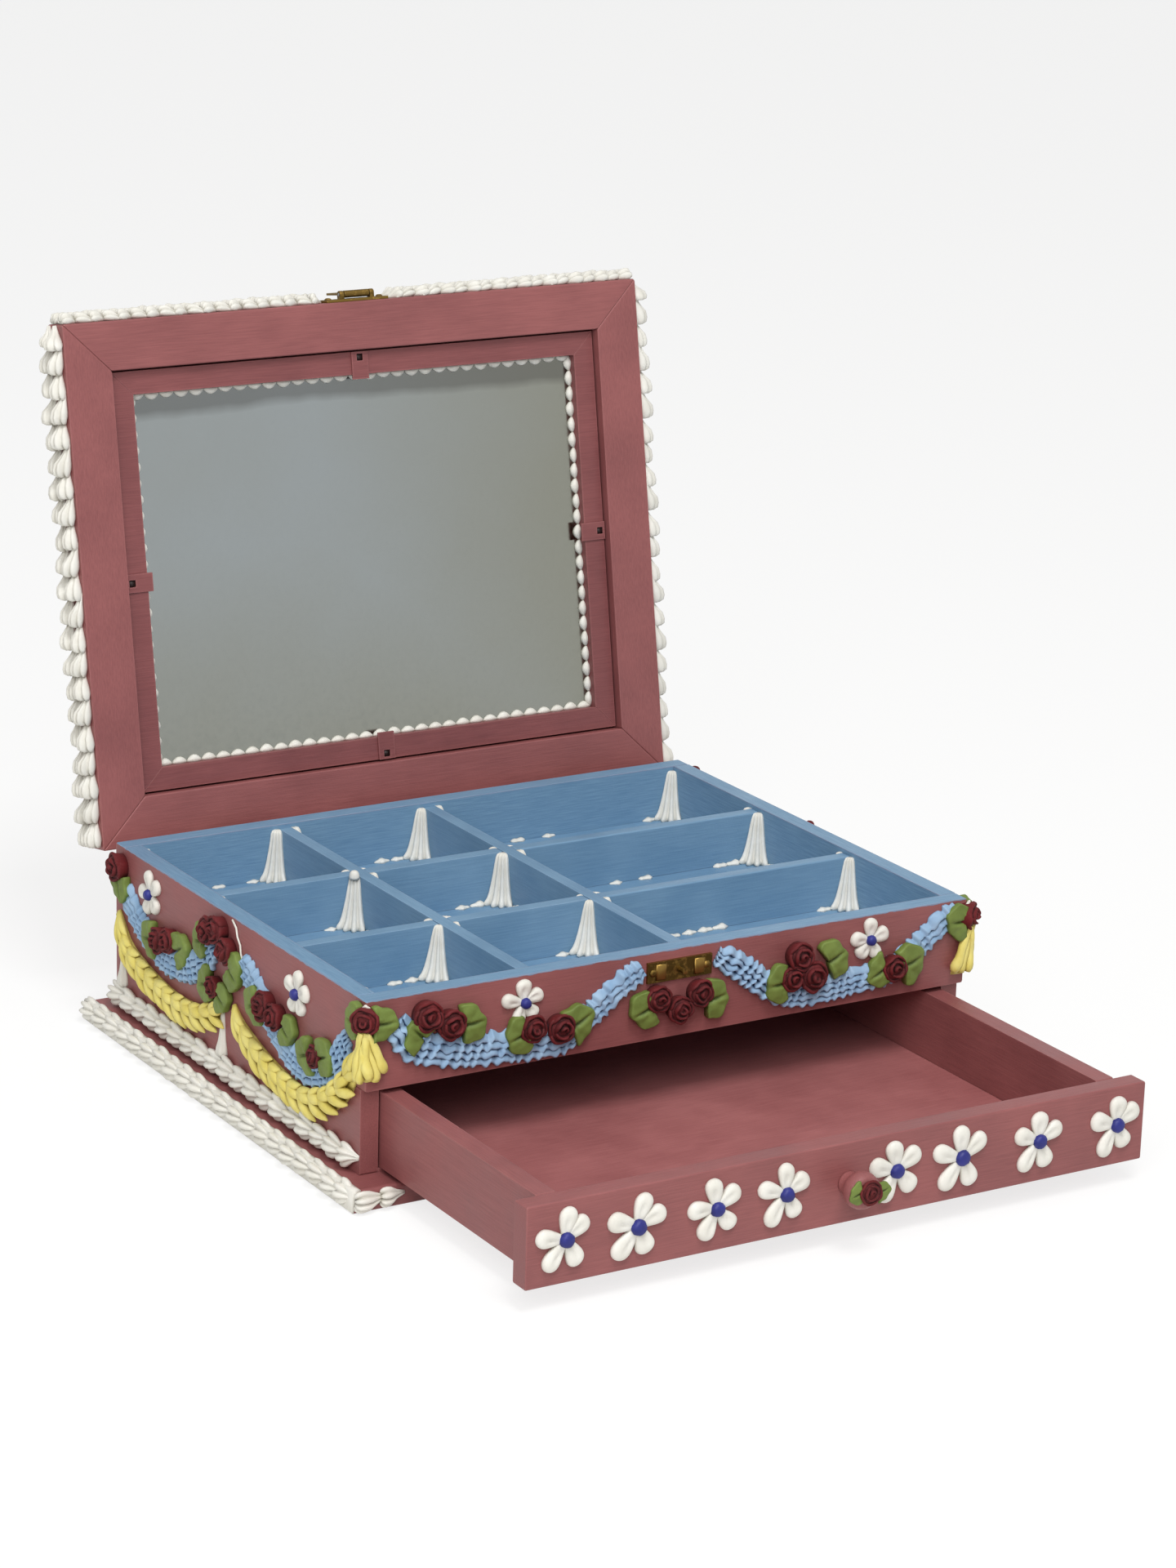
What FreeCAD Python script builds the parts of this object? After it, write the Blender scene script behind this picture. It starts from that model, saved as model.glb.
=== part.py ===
import FreeCAD, Part
import math
import os
import re
import Sketcher

# A painted wooden jewellery box with a hinged mirror lid, a divided tray and one drawer, piped all over
# with shells, swags, roses and daisies. Millimetres, +Z up, front to -Y, origin under the base's centre.
# The lid stands open and the drawer is drawn out. Lid pieces are drawn shut and swung about the pin.

doc = FreeCAD.newDocument("JewelleryBox")
sheet = doc.addObject("Spreadsheet::Sheet", "Sizes")

sizes = {
    # case
    "caseWidth": 280, "caseDepth": 222, "wallHeight": 72, "boardThick": 8,
    "plateThick": 9, "plateFlange": 10, "plateRound": 2,
    "apronHeight": 36.7, "postSetback": 3.8, "floorThick": 4.5,
    # tray
    "trayDepth": 24, "dividerThick": 6, "dividerDrop": 1.8, "narrowBay": 64.5, "lapClear": 0.1,
    "columnTop": 3.6, "columnFoot": 9, "columnDrop": 0.6, "trayBeadWidth": 3, "trayBeadHeight": 3,
    # drawer
    "drawerPull": 116.6, "drawerTopGap": 2.2, "drawerFootGap": 0.6, "drawerFrontThick": 9,
    "drawerSideThick": 8.5, "drawerBottomThick": 3, "drawerGap": 0.8, "drawerBackGap": 4,
    "drawerFrontMargin": 0.3, "runnerHeight": 1.6, "runnerWidth": 9, "slideClear": 0.3,
    "knobRadius": 8, "knobLength": 13, "knobNeck": 5, "knobScrewRadius": 1.6, "screwClear": 0.1,
    # lid
    "lidOpen": 99.9, "lidGap": 0.6, "lidOverhang": 0.4, "frameWidth": 21, "frameThick": 12,
    "panelThick": 3, "mitreGap": 0.05, "filletWidth": 10, "filletThick": 5, "mirrorThick": 3, "rabbetGap": 0.8,
    "clipWidth": 8, "clipThick": 0.9, "clipHole": 3, "clipTip": 2, "beadWidth": 3.4, "beadHeight": 2.2,
    "beadPitch": 10,
    # hinges
    "hingeSpread": 170, "hingeWidth": 26, "leafThick": 1.2, "leafReach": 13, "pinBehind": 2.8,
    "pinBelow": 8.4, "pinRadius": 1, "pinClear": 0.05, "knuckleRadius": 2.4, "knuckleGap": 0.3,
    "leafClear": 0.6, "screwHead": 1.7, "screwHeadHeight": 0.8, "screwInset": 5,
    # clasp
    "claspWidth": 30, "claspHeight": 8.5, "claspThick": 1.2, "claspInset": 1, "catchDrop": 4,
    "haspWidth": 12, "haspLength": 16, "haspThick": 1, "haspStandoff": 3.2, "haspRise": 3,
    "haspKnuckle": 1.6, "haspPin": 0.7, "lugWidth": 2, "studRadius": 1.2, "studLength": 3.8,
    "studRoom": 1.2,
    # piping
    "shellWidth": 11, "shellProud": 5, "shellPitch": 16.5, "edgeShellWidth": 8.4, "lidShellWidth": 7.2,
    "cornerRun": 22, "swagWidth": 9.5, "swagProud": 3.6, "rufflePitch": 12, "roseRadius": 6.2,
    "roseProud": 6.4, "leafLength": 11, "leafWidth": 6, "leafProud": 2.6, "daisyRadius": 11.5,
    "daisyProud": 2.6, "daisyEye": 2.7, "eyeProud": 1.8, "dropLength": 22, "dropWidth": 5.5,
    "dropProud": 3, "fanLength": 25, "fanReach": 10, "fanProud": 3.4, "crumbSide": 1.6,
}
for row, (alias, number) in enumerate(sizes.items(), start=1):
    sheet.set(f"A{row}", alias)
    sheet.set(f"B{row}", str(number))
    sheet.setAlias(f"B{row}", alias)
doc.recompute()

nodes = {}


def inSheet(text):
    return re.sub(r"[A-Za-z]\w*", lambda found: "Sizes." + found[0] if found[0] in sizes else found[0], text)


def bind(thing, prop, text):
    thing.setExpression(prop, inSheet(text))


def size(text):
    return float(sheet.evalExpression(inSheet(text)))


def keep(thing, name):
    thing.Label = name
    nodes[name] = thing
    return thing


# Heights and faces that several pieces share.
halfWidth = "caseWidth / 2"
halfDepth = "caseDepth / 2"
plateTop = "plateThick"
rim = "(plateThick + wallHeight)"
apronFoot = "(plateThick + wallHeight - apronHeight)"
trayFloor = "(plateThick + wallHeight - trayDepth)"
insideX = "(caseWidth / 2 - boardThick)"
insideY = "(caseDepth / 2 - boardThick)"
postFace = "(caseDepth / 2 - postSetback)"
lidUnder = "(plateThick + wallHeight + lidGap)"
lidTop = "(plateThick + wallHeight + lidGap + frameThick)"
lidOuter = "(plateThick + wallHeight + lidGap + frameThick + panelThick)"
lidBack = "(caseDepth / 2 + lidOverhang)"
lidDepth = "(caseDepth + lidOverhang)"
pinY = "(caseDepth / 2 + pinBehind)"
pinZ = "(plateThick + wallHeight - pinBelow)"
openCos = "cos(lidOpen * 1 deg)"
openSin = "sin(lidOpen * 1 deg)"


def swing(thing):
    # The lid's pieces turn about the hinge pin from shut to open.
    thing.Placement = FreeCAD.Placement(
        FreeCAD.Vector(), FreeCAD.Rotation(FreeCAD.Vector(-1, 0, 0), size("lidOpen")))
    bind(thing, "Placement.Rotation.Angle", "lidOpen * 1 deg")
    bind(thing, "Placement.Base.y", f"{pinY} - {pinY} * {openCos} - {pinZ} * {openSin}")
    bind(thing, "Placement.Base.z", f"{pinZ} + {pinY} * {openSin} - {pinZ} * {openCos}")
    return thing


def draw(thing):
    # The drawer's pieces are drawn in and stand pulled out by the drawer's pull.
    thing.Placement = FreeCAD.Placement()
    bind(thing, "Placement.Base.y", "-drawerPull")
    return thing


def outline(body, name, role, corner, points):
    # A closed outline drawn from a corner, every point held by its distances from that corner.
    plane = next(item for item in body.Origin.OriginFeatures if item.Role == role)
    sketch = body.newObject("Sketcher::SketchObject", name)
    sketch.AttachmentSupport = [(plane, "")]
    sketch.MapMode = "FlatFace"
    for axis, text in zip("xyz", corner):
        bind(sketch, f"AttachmentOffset.Base.{axis}", text)
    spots = [FreeCAD.Vector(size(x), size(y), 0) for x, y in points]
    count = len(spots)
    for index in range(count):
        sketch.addGeometry(Part.LineSegment(spots[index], spots[(index + 1) % count]), False)
    for index in range(count):
        sketch.addConstraint(Sketcher.Constraint("Coincident", index, 2, (index + 1) % count, 1))
    for index, (x, y) in enumerate(points):
        for kind, text, axis, spot in (("DistanceX", x, -2, spots[index].x), ("DistanceY", y, -1, spots[index].y)):
            if text == "0":
                sketch.addConstraint(Sketcher.Constraint("PointOnObject", index, 1, axis))
            else:
                held = sketch.addConstraint(Sketcher.Constraint(kind, -1, 1, index, 1, spot))
                bind(sketch, f"Constraints[{held}]", text)
    return sketch


def prism(name, role, corner, points, length):
    # One board or strip: an outline on a plane, padded along that plane's normal.
    body = doc.addObject("PartDesign::Body", name)
    sketch = outline(body, name + "_outline", role, corner, points)
    pad = body.newObject("PartDesign::Pad", name + "_pad")
    pad.Profile = sketch
    bind(pad, "Length", length)
    return body


def rectangle(width, depth):
    return [("0", "0"), (width, "0"), (width, depth), ("0", depth)]


def slab(name, low, span):
    # A plain board from its low corner, along X, Y and Z.
    return prism(name, "XY_Plane", low, rectangle(span[0], span[1]), span[2])


def turned(name, points, place, axis):
    # A piece turned about its own axis from half its profile.
    body = doc.addObject("PartDesign::Body", name)
    sketch = outline(body, name + "_profile", "XZ_Plane", ("0", "0", "0"), points)
    spin = body.newObject("PartDesign::Revolution", name + "_turn")
    spin.Profile = sketch
    spin.ReferenceAxis = (sketch, ["V_Axis"])
    body.Placement = FreeCAD.Placement(FreeCAD.Vector(), FreeCAD.Rotation(FreeCAD.Vector(0, 0, 1), axis))
    for letter, text in zip("xyz", place):
        bind(body, f"Placement.Base.{letter}", text)
    return body


def rod(name, radius, length, place, axis):
    # A round bar from a point along an axis.
    bar = doc.addObject("Part::Cylinder", name)
    bar.Placement = FreeCAD.Placement(FreeCAD.Vector(), FreeCAD.Rotation(FreeCAD.Vector(0, 0, 1), axis))
    bind(bar, "Radius", radius)
    bind(bar, "Height", length)
    for letter, text in zip("xyz", place):
        bind(bar, f"Placement.Base.{letter}", text)
    return bar


def joined(name, pieces):
    whole = doc.addObject("Part::MultiFuse", name)
    whole.Shapes = pieces
    whole.Refine = True
    return whole


def bored(name, stock, tools):
    cut = doc.addObject("Part::Cut", name)
    cut.Base = stock
    cut.Tool = tools[0] if len(tools) == 1 else joined(name + "_bores", tools)
    return cut


def group(name, pieces):
    whole = doc.addObject("Part::Compound", name)
    whole.Links = pieces
    return whole


alongX = FreeCAD.Vector(1, 0, 0)
toFront = FreeCAD.Vector(0, -1, 0)
toBack = FreeCAD.Vector(0, 1, 0)

# Base plate, with its upper edge eased all round.
plate = slab("base_plate", (f"-{halfWidth} - plateFlange", f"-{halfDepth} - plateFlange", "0"),
             ("caseWidth + 2 * plateFlange", "caseDepth + 2 * plateFlange", "plateThick"))
doc.recompute()
topEdges = [f"Edge{n}" for n, edge in enumerate(plate.Shape.Edges, start=1)
            if edge.BoundBox.ZMin > size("plateThick") - 0.01]
flatPlate = plate.Tip
ease = plate.newObject("PartDesign::Fillet", "base_plate_ease")
ease.Base = (flatPlate, topEdges)
bind(ease, "Radius", "plateRound")
keep(plate, "base_plate")

# Side boards run the full height. Their fronts are stepped: the apron laps them above, and the bare end
# below is the post beside the drawer.
sideOutline = [
    ("0", "0"), ("caseDepth - postSetback - boardThick", "0"),
    ("caseDepth - postSetback - boardThick", "wallHeight"),
    ("boardThick - postSetback", "wallHeight"), ("boardThick - postSetback", "wallHeight - apronHeight"),
    ("0", "wallHeight - apronHeight")]
for name, start in (("side_left", f"-{halfWidth}"), ("side_right", insideX)):
    keep(prism(name, "YZ_Plane", (f"-{postFace}", plateTop, start), sideOutline, "boardThick"), name)
keep(slab("case_back", (f"-{halfWidth}", insideY, plateTop), ("caseWidth", "boardThick", "wallHeight")),
     "case_back")
keep(slab("apron", (f"-{halfWidth}", f"-{halfDepth}", apronFoot), ("caseWidth", "boardThick", "apronHeight")),
     "apron")
keep(slab("tray_floor", (f"-{insideX}", f"-{insideY}", f"{trayFloor} - floorThick"),
          (f"2 * {insideX}", f"2 * {insideY}", "floorThick")), "tray_floor")

# Tray dividers, halved into each other: two run along the box and are slotted from above, two run across
# and are slotted from below.
dividerTall = "(trayDepth - dividerDrop)"
rowPitch = f"((2 * {insideY} - 2 * dividerThick) / 3 + dividerThick)"
columnPlaces = ["narrowBay", "(2 * narrowBay + dividerThick)"]
rowPlaces = [f"({rowPitch} - dividerThick)", f"(2 * {rowPitch} - dividerThick)"]


def slotted(length, places, fromTop):
    low, high = ("0", dividerTall)
    edge, floor = (high, f"{dividerTall} / 2") if fromTop else (low, f"{dividerTall} / 2")
    other = low if fromTop else high
    points = [("0", other), ("0", edge)]
    for place in places:
        left, right = f"{place} - lapClear", f"{place} + dividerThick + lapClear"
        points += [(left, edge), (left, floor), (right, floor), (right, edge)]
    return points + [(length, edge), (length, other)]


for name, place in zip(("divider_row_front", "divider_row_back"), rowPlaces):
    keep(prism(name, "XZ_Plane", (f"-{insideX}", trayFloor, f"{insideY} - {place} - dividerThick"),
               slotted(f"2 * {insideX}", columnPlaces, True), "dividerThick"), name)
for name, place in zip(("divider_column_left", "divider_column_right"), columnPlaces):
    keep(prism(name, "YZ_Plane", (f"-{insideY}", trayFloor, f"{place} - {insideX}"),
               slotted(f"2 * {insideY}", rowPlaces, False), "dividerThick"), name)

# Runners under the drawer's sides.
runnerLength = f"({postFace} + {insideY})"
runners = [slab(f"runner_{side}", (start, f"-{postFace}", plateTop), ("runnerWidth", runnerLength, "runnerHeight"))
           for side, start in (("left", f"-{insideX}"), ("right", f"{insideX} - runnerWidth"))]
keep(group("drawer_runners", runners), "drawer_runners")

# Drawer: a lapped front on a plain box that runs between the side boards.
drawerFloor = "(plateThick + runnerHeight + slideClear)"
drawerTop = "(plateThick + wallHeight - apronHeight - drawerTopGap)"
drawerSideHeight = f"({drawerTop} - {drawerFloor})"
drawerFrontHeight = f"({drawerTop} - plateThick - drawerFootGap)"
drawerHalf = f"({insideX} - drawerGap)"
drawerBack = f"({insideY} - drawerBackGap)"
drawerLength = f"({postFace} + {drawerBack} - drawerFrontMargin)"
frontBack = f"({postFace} + drawerFrontMargin)"
frontFace = f"({postFace} + drawerFrontMargin + drawerFrontThick)"
frontMiddle = f"({drawerTop} - {drawerFrontHeight} / 2)"
front = slab("drawer_front_board", (f"-{halfWidth}", f"-{frontFace}", f"{drawerTop} - {drawerFrontHeight}"),
             ("caseWidth", "drawerFrontThick", drawerFrontHeight))
knobBore = rod("knob_bore", "knobScrewRadius + screwClear", "3 * drawerFrontThick",
               ("0", f"-{frontBack} + drawerFrontThick", frontMiddle), toFront)
keep(draw(bored("drawer_front", front, [knobBore])), "drawer_front")
boxLength = f"({frontBack} + {drawerBack})"
for name, start in (("drawer_side_left", f"-{drawerHalf}"), ("drawer_side_right", f"{drawerHalf} - drawerSideThick")):
    keep(draw(slab(name, (start, f"-{frontBack}", drawerFloor), ("drawerSideThick", boxLength, drawerSideHeight))),
         name)
innerHalf = f"({drawerHalf} - drawerSideThick)"
keep(draw(slab("drawer_back", (f"-{innerHalf}", f"{drawerBack} - drawerSideThick", drawerFloor),
               (f"2 * {innerHalf}", "drawerSideThick", drawerSideHeight))), "drawer_back")
keep(draw(slab("drawer_bottom", (f"-{innerHalf}", f"-{frontBack}", drawerFloor),
               (f"2 * {innerHalf}", f"{boxLength} - drawerSideThick", "drawerBottomThick"))), "drawer_bottom")

# Knob and the screw that holds it from inside the drawer.
knobOutline = [
    ("knobScrewRadius", "0"), ("knobNeck", "0"), ("knobNeck", "knobLength * 0.25"),
    ("knobRadius", "knobLength * 0.5"), ("knobRadius", "knobLength * 0.78"),
    ("knobRadius * 0.8", "knobLength"), ("0", "knobLength"), ("0", "knobLength * 0.6"),
    ("knobScrewRadius", "knobLength * 0.6")]
keep(turned("knob", knobOutline, ("0", f"-{frontFace} - drawerPull", frontMiddle), toFront), "knob")
screwReach = "(drawerFrontThick + knobLength * 0.6)"
knobScrewOutline = [
    ("0", "0"), ("2.2 * knobScrewRadius", "0"), ("2.2 * knobScrewRadius", "knobScrewRadius"),
    ("knobScrewRadius", "knobScrewRadius"), ("knobScrewRadius", f"knobScrewRadius + {screwReach}"),
    ("0", f"knobScrewRadius + {screwReach}")]
keep(turned("knob_screw", knobScrewOutline,
            ("0", f"-{frontBack} + knobScrewRadius - drawerPull", frontMiddle), toFront), "knob_screw")

# Lid frame: two stiles and two rails mitred at the corners.
lidSpan = "caseWidth"
mitreSide = [("0", "0"), ("frameWidth", "frameWidth"), ("frameWidth", f"{lidDepth} - frameWidth"), ("0", lidDepth)]
mitreFront = [("0", "0"), ("caseWidth", "0"), ("caseWidth - frameWidth", "frameWidth"), ("frameWidth", "frameWidth")]


def flipped(points, span, index):
    # The same outline seen from the far side of its span.
    def far(text):
        return span if text == "0" else ("0" if text == span else f"{span} - ({text})")
    return [(far(x), y) if index == 0 else (x, far(y)) for x, y in points]


lidCorner = (f"-{halfWidth}", f"-{halfDepth}", lidUnder)
stileRight = flipped(mitreSide, "caseWidth", 0)
railBack = flipped(mitreFront, lidDepth, 1)
for name, points in (("lid_stile_left", mitreSide), ("lid_stile_right", stileRight),
                     ("lid_rail_front", mitreFront), ("lid_rail_back", railBack)):
    keep(swing(prism(name, "XY_Plane", lidCorner, points, "frameThick")), name)
keep(swing(slab("lid_panel", (f"-{halfWidth}", f"-{halfDepth}", lidTop), ("caseWidth", lidDepth, "panelThick"))),
     "lid_panel")

# Mirror against the panel, held by a loose mitred fillet in the frame's rabbet.
paneX = f"({halfWidth} - frameWidth - rabbetGap)"
paneLow = f"({halfDepth} - frameWidth - rabbetGap)"
paneDeep = f"({lidDepth} - 2 * frameWidth - 2 * rabbetGap)"
paneWide = "(caseWidth - 2 * frameWidth - 2 * rabbetGap)"
keep(swing(slab("lid_mirror", (f"-{paneX}", f"-{paneLow}", f"{lidTop} - mirrorThick"),
                (paneWide, paneDeep, "mirrorThick"))), "lid_mirror")
filletFace = f"({lidTop} - mirrorThick - filletThick)"
filletCorner = (f"-{paneX}", f"-{paneLow}", filletFace)
filletSide = [("0", "mitreGap"), ("filletWidth", "filletWidth + mitreGap"),
              ("filletWidth", f"{paneDeep} - filletWidth - mitreGap"), ("0", f"{paneDeep} - mitreGap")]
filletFront = [("0", "0"), (paneWide, "0"), (f"{paneWide} - filletWidth", "filletWidth"), ("filletWidth", "filletWidth")]
fillets = [prism(f"fillet_{number}", "XY_Plane", filletCorner, points, "filletThick") for number, points in enumerate(
    (filletSide, flipped(filletSide, paneWide, 0), filletFront, flipped(filletFront, paneDeep, 1)), start=1)]
keep(swing(group("lid_fillet", fillets)), "lid_fillet")

# Spring clips across the fillet at the middle of each side, pierced near the rabbet's wall.
clipLong = "(filletWidth + clipTip)"
clipFace = f"({filletFace} - clipThick)"
middleY = f"({lidDepth} / 2 - {halfDepth})"


def clip(number, low, wide, deep, hole):
    strip = slab(f"clip_strip_{number}", (low[0], low[1], clipFace), (wide, deep, "clipThick"))
    pierce = slab(f"clip_hole_{number}", (hole[0], hole[1], f"{clipFace} - clipThick"),
                  ("clipHole", "clipHole", "3 * clipThick"))
    return bored(f"clip_{number}", strip, [pierce])


acrossX = "-clipWidth / 2"
acrossY = f"{middleY} - clipWidth / 2"
paneHigh = f"({paneDeep} - {paneLow})"
clips = [
    clip(1, (f"-{paneX}", acrossY), clipLong, "clipWidth", (f"-{paneX} + 1", f"{middleY} - clipHole / 2")),
    clip(2, (f"{paneX} - {clipLong}", acrossY), clipLong, "clipWidth",
         (f"{paneX} - 1 - clipHole", f"{middleY} - clipHole / 2")),
    clip(3, (acrossX, f"-{paneLow}"), "clipWidth", clipLong, ("-clipHole / 2", f"-{paneLow} + 1")),
    clip(4, (acrossX, f"{paneHigh} - {clipLong}"), "clipWidth", clipLong,
         ("-clipHole / 2", f"{paneHigh} - 1 - clipHole"))]
keep(swing(group("lid_clips", clips)), "lid_clips")

# Two butt hinges on the back. The pin sits below the seam, so the lid's leaf reaches down past it.
knuckle = "(hingeWidth / 3)"
screwRow = "(leafReach - screwInset)"
leafFace = f"({lidBack} + leafThick)"


def hinge(number, middle):
    left = f"{middle} - hingeWidth / 2"
    caseLeaf = prism(f"case_leaf_plate_{number}", "XZ_Plane",
                     (left, f"{pinZ} - leafReach", f"-{halfDepth} - leafThick"),
                     [("0", "0"), ("hingeWidth", "0"), ("hingeWidth", "leafReach"),
                      (f"2 * {knuckle} + knuckleGap", "leafReach"),
                      (f"2 * {knuckle} + knuckleGap", "leafReach - knuckleRadius - leafClear"),
                      (f"{knuckle} - knuckleGap", "leafReach - knuckleRadius - leafClear"),
                      (f"{knuckle} - knuckleGap", "leafReach"), ("0", "leafReach")], "leafThick")
    lidLeaf = prism(f"lid_leaf_plate_{number}", "XZ_Plane", (left, pinZ, f"-{leafFace}"),
                    [(knuckle, "0"), (f"2 * {knuckle}", "0"), (f"2 * {knuckle}", "knuckleRadius + leafClear"),
                     ("hingeWidth", "knuckleRadius + leafClear"), ("hingeWidth", "pinBelow + leafReach"),
                     ("0", "pinBelow + leafReach"), ("0", "knuckleRadius + leafClear"),
                     (knuckle, "knuckleRadius + leafClear")], "leafThick")
    rolls = [rod(f"case_roll_{number}_{side}", "knuckleRadius", f"{knuckle} - knuckleGap", (start, pinY, pinZ), alongX)
             for side, start in (("a", left), ("b", f"{left} + 2 * {knuckle} + knuckleGap"))]
    lidRoll = rod(f"lid_roll_{number}", "knuckleRadius", knuckle, (f"{left} + {knuckle}", pinY, pinZ), alongX)
    bores = [rod(f"{leaf}_bore_{number}", "pinRadius + pinClear", "2 * hingeWidth",
                 (f"{left} - hingeWidth / 2", pinY, pinZ), alongX) for leaf in ("case", "lid")]
    caseSide = bored(f"case_leaf_{number}", joined(f"case_leaf_stock_{number}", [caseLeaf] + rolls), bores[:1])
    lidSide = bored(f"lid_leaf_{number}", joined(f"lid_leaf_stock_{number}", [lidLeaf, lidRoll]), bores[1:])
    pin = rod(f"hinge_pin_{number}", "pinRadius", "hingeWidth", (left, pinY, pinZ), alongX)
    return caseSide, lidSide, pin


hinges = [hinge(1, "-hingeSpread / 2"), hinge(2, "hingeSpread / 2")]
keep(group("hinge_leaves_case", [each[0] for each in hinges]), "hinge_leaves_case")
keep(swing(group("hinge_leaves_lid", [each[1] for each in hinges])), "hinge_leaves_lid")
keep(group("hinge_pins", [each[2] for each in hinges]), "hinge_pins")

# Clasp: a catch plate with a stud on the apron, and a plate with two lugs on the lid's front edge that
# carries a slotted hasp. The hasp stands folded back against its plate.
catchTop = f"({rim} - catchDrop)"
studHeight = f"({rim} - catchDrop - claspHeight / 2)"
catchFace = f"({halfDepth} + claspThick)"
claspLow = f"({lidUnder} + claspInset)"
haspY = f"({halfDepth} + haspStandoff)"
haspZ = f"({lidUnder} + haspRise)"
claspLeft = "-claspWidth / 2"


def claspPlate(name, bottom):
    return slab(name, (claspLeft, f"-{catchFace}", bottom), ("claspWidth", "claspThick", "claspHeight"))


catch = claspPlate("catch_blank", f"{catchTop} - claspHeight")
stud = rod("catch_stud", "studRadius", "claspThick + studLength", ("0", f"-{halfDepth}", studHeight), toFront)
keep(joined("catch_plate", [catch, stud]), "catch_plate")
clasp = claspPlate("clasp_blank", claspLow)
lugInside = "(haspWidth / 2 + knuckleGap)"
lugs = []
for side, start in (("left", f"-{lugInside} - lugWidth"), ("right", lugInside)):
    lugs.append(slab(f"clasp_lug_{side}", (start, f"-{haspY}", f"{haspZ} - haspKnuckle"),
                     ("lugWidth", "haspStandoff", "2 * haspKnuckle")))
    lugs.append(rod(f"clasp_lug_nose_{side}", "haspKnuckle", "lugWidth", (start, f"-{haspY}", haspZ), alongX))
claspBore = rod("clasp_pin_bore", "haspPin + pinClear", "4 * haspWidth",
                ("-2 * haspWidth", f"-{haspY}", haspZ), alongX)
keep(swing(bored("clasp_plate", joined("clasp_stock", [clasp] + lugs), [claspBore])), "clasp_plate")
claspPin = rod("clasp_pin_bar", "haspPin", f"2 * ({lugInside} + lugWidth)",
               (f"-({lugInside} + lugWidth)", f"-{haspY}", haspZ), alongX)
keep(swing(group("clasp_pin", [claspPin])), "clasp_pin")
slotMiddle = f"({haspZ} - {studHeight})"
tongue = slab("hasp_tongue", ("-haspWidth / 2", f"-{haspY} - haspThick / 2", haspZ),
              ("haspWidth", "haspThick", "haspLength"))
haspRoll = rod("hasp_roll", "haspKnuckle", "haspWidth", ("-haspWidth / 2", f"-{haspY}", haspZ), alongX)
haspBore = rod("hasp_bore", "haspPin + pinClear", "2 * haspWidth", ("-haspWidth", f"-{haspY}", haspZ), alongX)
haspSlot = slab("hasp_slot", ("-studRadius - studRoom", f"-{haspY} - haspThick",
                              f"{haspZ} + {slotMiddle} - studRadius - studRoom"),
                ("2 * (studRadius + studRoom)", "2 * haspThick", "2 * (studRadius + studRoom)"))
keep(swing(bored("hasp", joined("hasp_stock", [tongue, haspRoll]), [haspBore, haspSlot])), "hasp")

# Piping. Each piece lies flat on its board: a frame of three directions gives along, up and outward.


class Wall:
    # A flat board face that piping sits on.
    def __init__(self, origin, along, up):
        self.origin = FreeCAD.Vector(*origin)
        self.along = FreeCAD.Vector(*along)
        self.up = FreeCAD.Vector(*up)
        self.out = self.along.cross(self.up)

    def at(self, a, b, n):
        return self.origin + self.along * a + self.up * b + self.out * n


def lofted(rings):
    # A closed solid through rings of equal count, with flat faces: a twisted side is split in two.
    faces = [Part.Face(Part.makePolygon(ring + ring[:1])) for ring in (rings[0], rings[-1])]
    for lower, upper in zip(rings, rings[1:]):
        for index in range(len(lower)):
            following = (index + 1) % len(lower)
            side = [lower[index], lower[following], upper[following], upper[index]]
            normal = (side[1] - side[0]).cross(side[2] - side[0])
            flat = abs(normal.dot(side[3] - side[0])) < 1e-6 * max(1.0, normal.Length)
            for part in ([side] if flat else [side[:3], [side[0], side[2], side[3]]]):
                faces.append(Part.Face(Part.makePolygon(part + part[:1])))
    shell = Part.makeShell(faces)
    shell.sewShape()
    solid = Part.makeSolid(shell)
    if solid.Volume < 0:
        solid.reverse()
    return solid


def dome(wall, a, b, levels, corners):
    # A many-sided boss: each level gives its radius and its height over the board.
    rings = []
    for radius, height in levels:
        ring = []
        for corner in range(corners):
            angle = 2 * math.pi * corner / corners
            ring.append(wall.at(a + radius * math.cos(angle), b + radius * math.sin(angle), height))
        rings.append(ring)
    return lofted(rings)


def rose(wall, a, b, radius, proud):
    return dome(wall, a, b, [(0.85 * radius, 0), (radius, 0.45 * proud), (0.45 * radius, proud)], 6)


def daisy(wall, a, b, radius, proud):
    petals, perPetal = 5, 3
    spread = (0.45, 1.0, 1.0)
    rings = []
    for share, height in ((1.0, 0), (0.93, 0.6 * proud), (0.6, proud)):
        ring = []
        for index in range(petals * perPetal):
            angle = 2 * math.pi * (index - perPetal / 2) / (petals * perPetal) + math.pi / 2
            reach = radius * share * spread[index % perPetal]
            ring.append(wall.at(a + reach * math.cos(angle), b + reach * math.sin(angle), height))
        rings.append(ring)
    return lofted(rings)


def eye(wall, a, b, radius, base, proud):
    return dome(wall, a, b, [(radius, base), (0.6 * radius, base + proud)], 6)


def leaf(wall, a, b, angle, length, width, proud):
    ux, uy = math.cos(angle), math.sin(angle)
    rings = []
    for along, share in ((-0.5, 0.3), (-0.1, 1.0), (0.25, 0.75), (0.5, 0.08)):
        cx, cy = a + ux * along * length, b + uy * along * length
        half = share * width / 2
        rings.append([wall.at(cx - uy * half, cy + ux * half, 0), wall.at(cx, cy, share * proud),
                      wall.at(cx + uy * half, cy - ux * half, 0)])
    return lofted(rings)


def section(wall, a, b, dirA, dirB, width, proud):
    # A low bead with two shoulders across a run of piping.
    half = width / 2
    return [wall.at(a - dirB * half * s, b + dirA * half * s, proud * n)
            for s, n in ((-1, 0), (-0.6, 1), (0.6, 1), (1, 0))]


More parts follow.
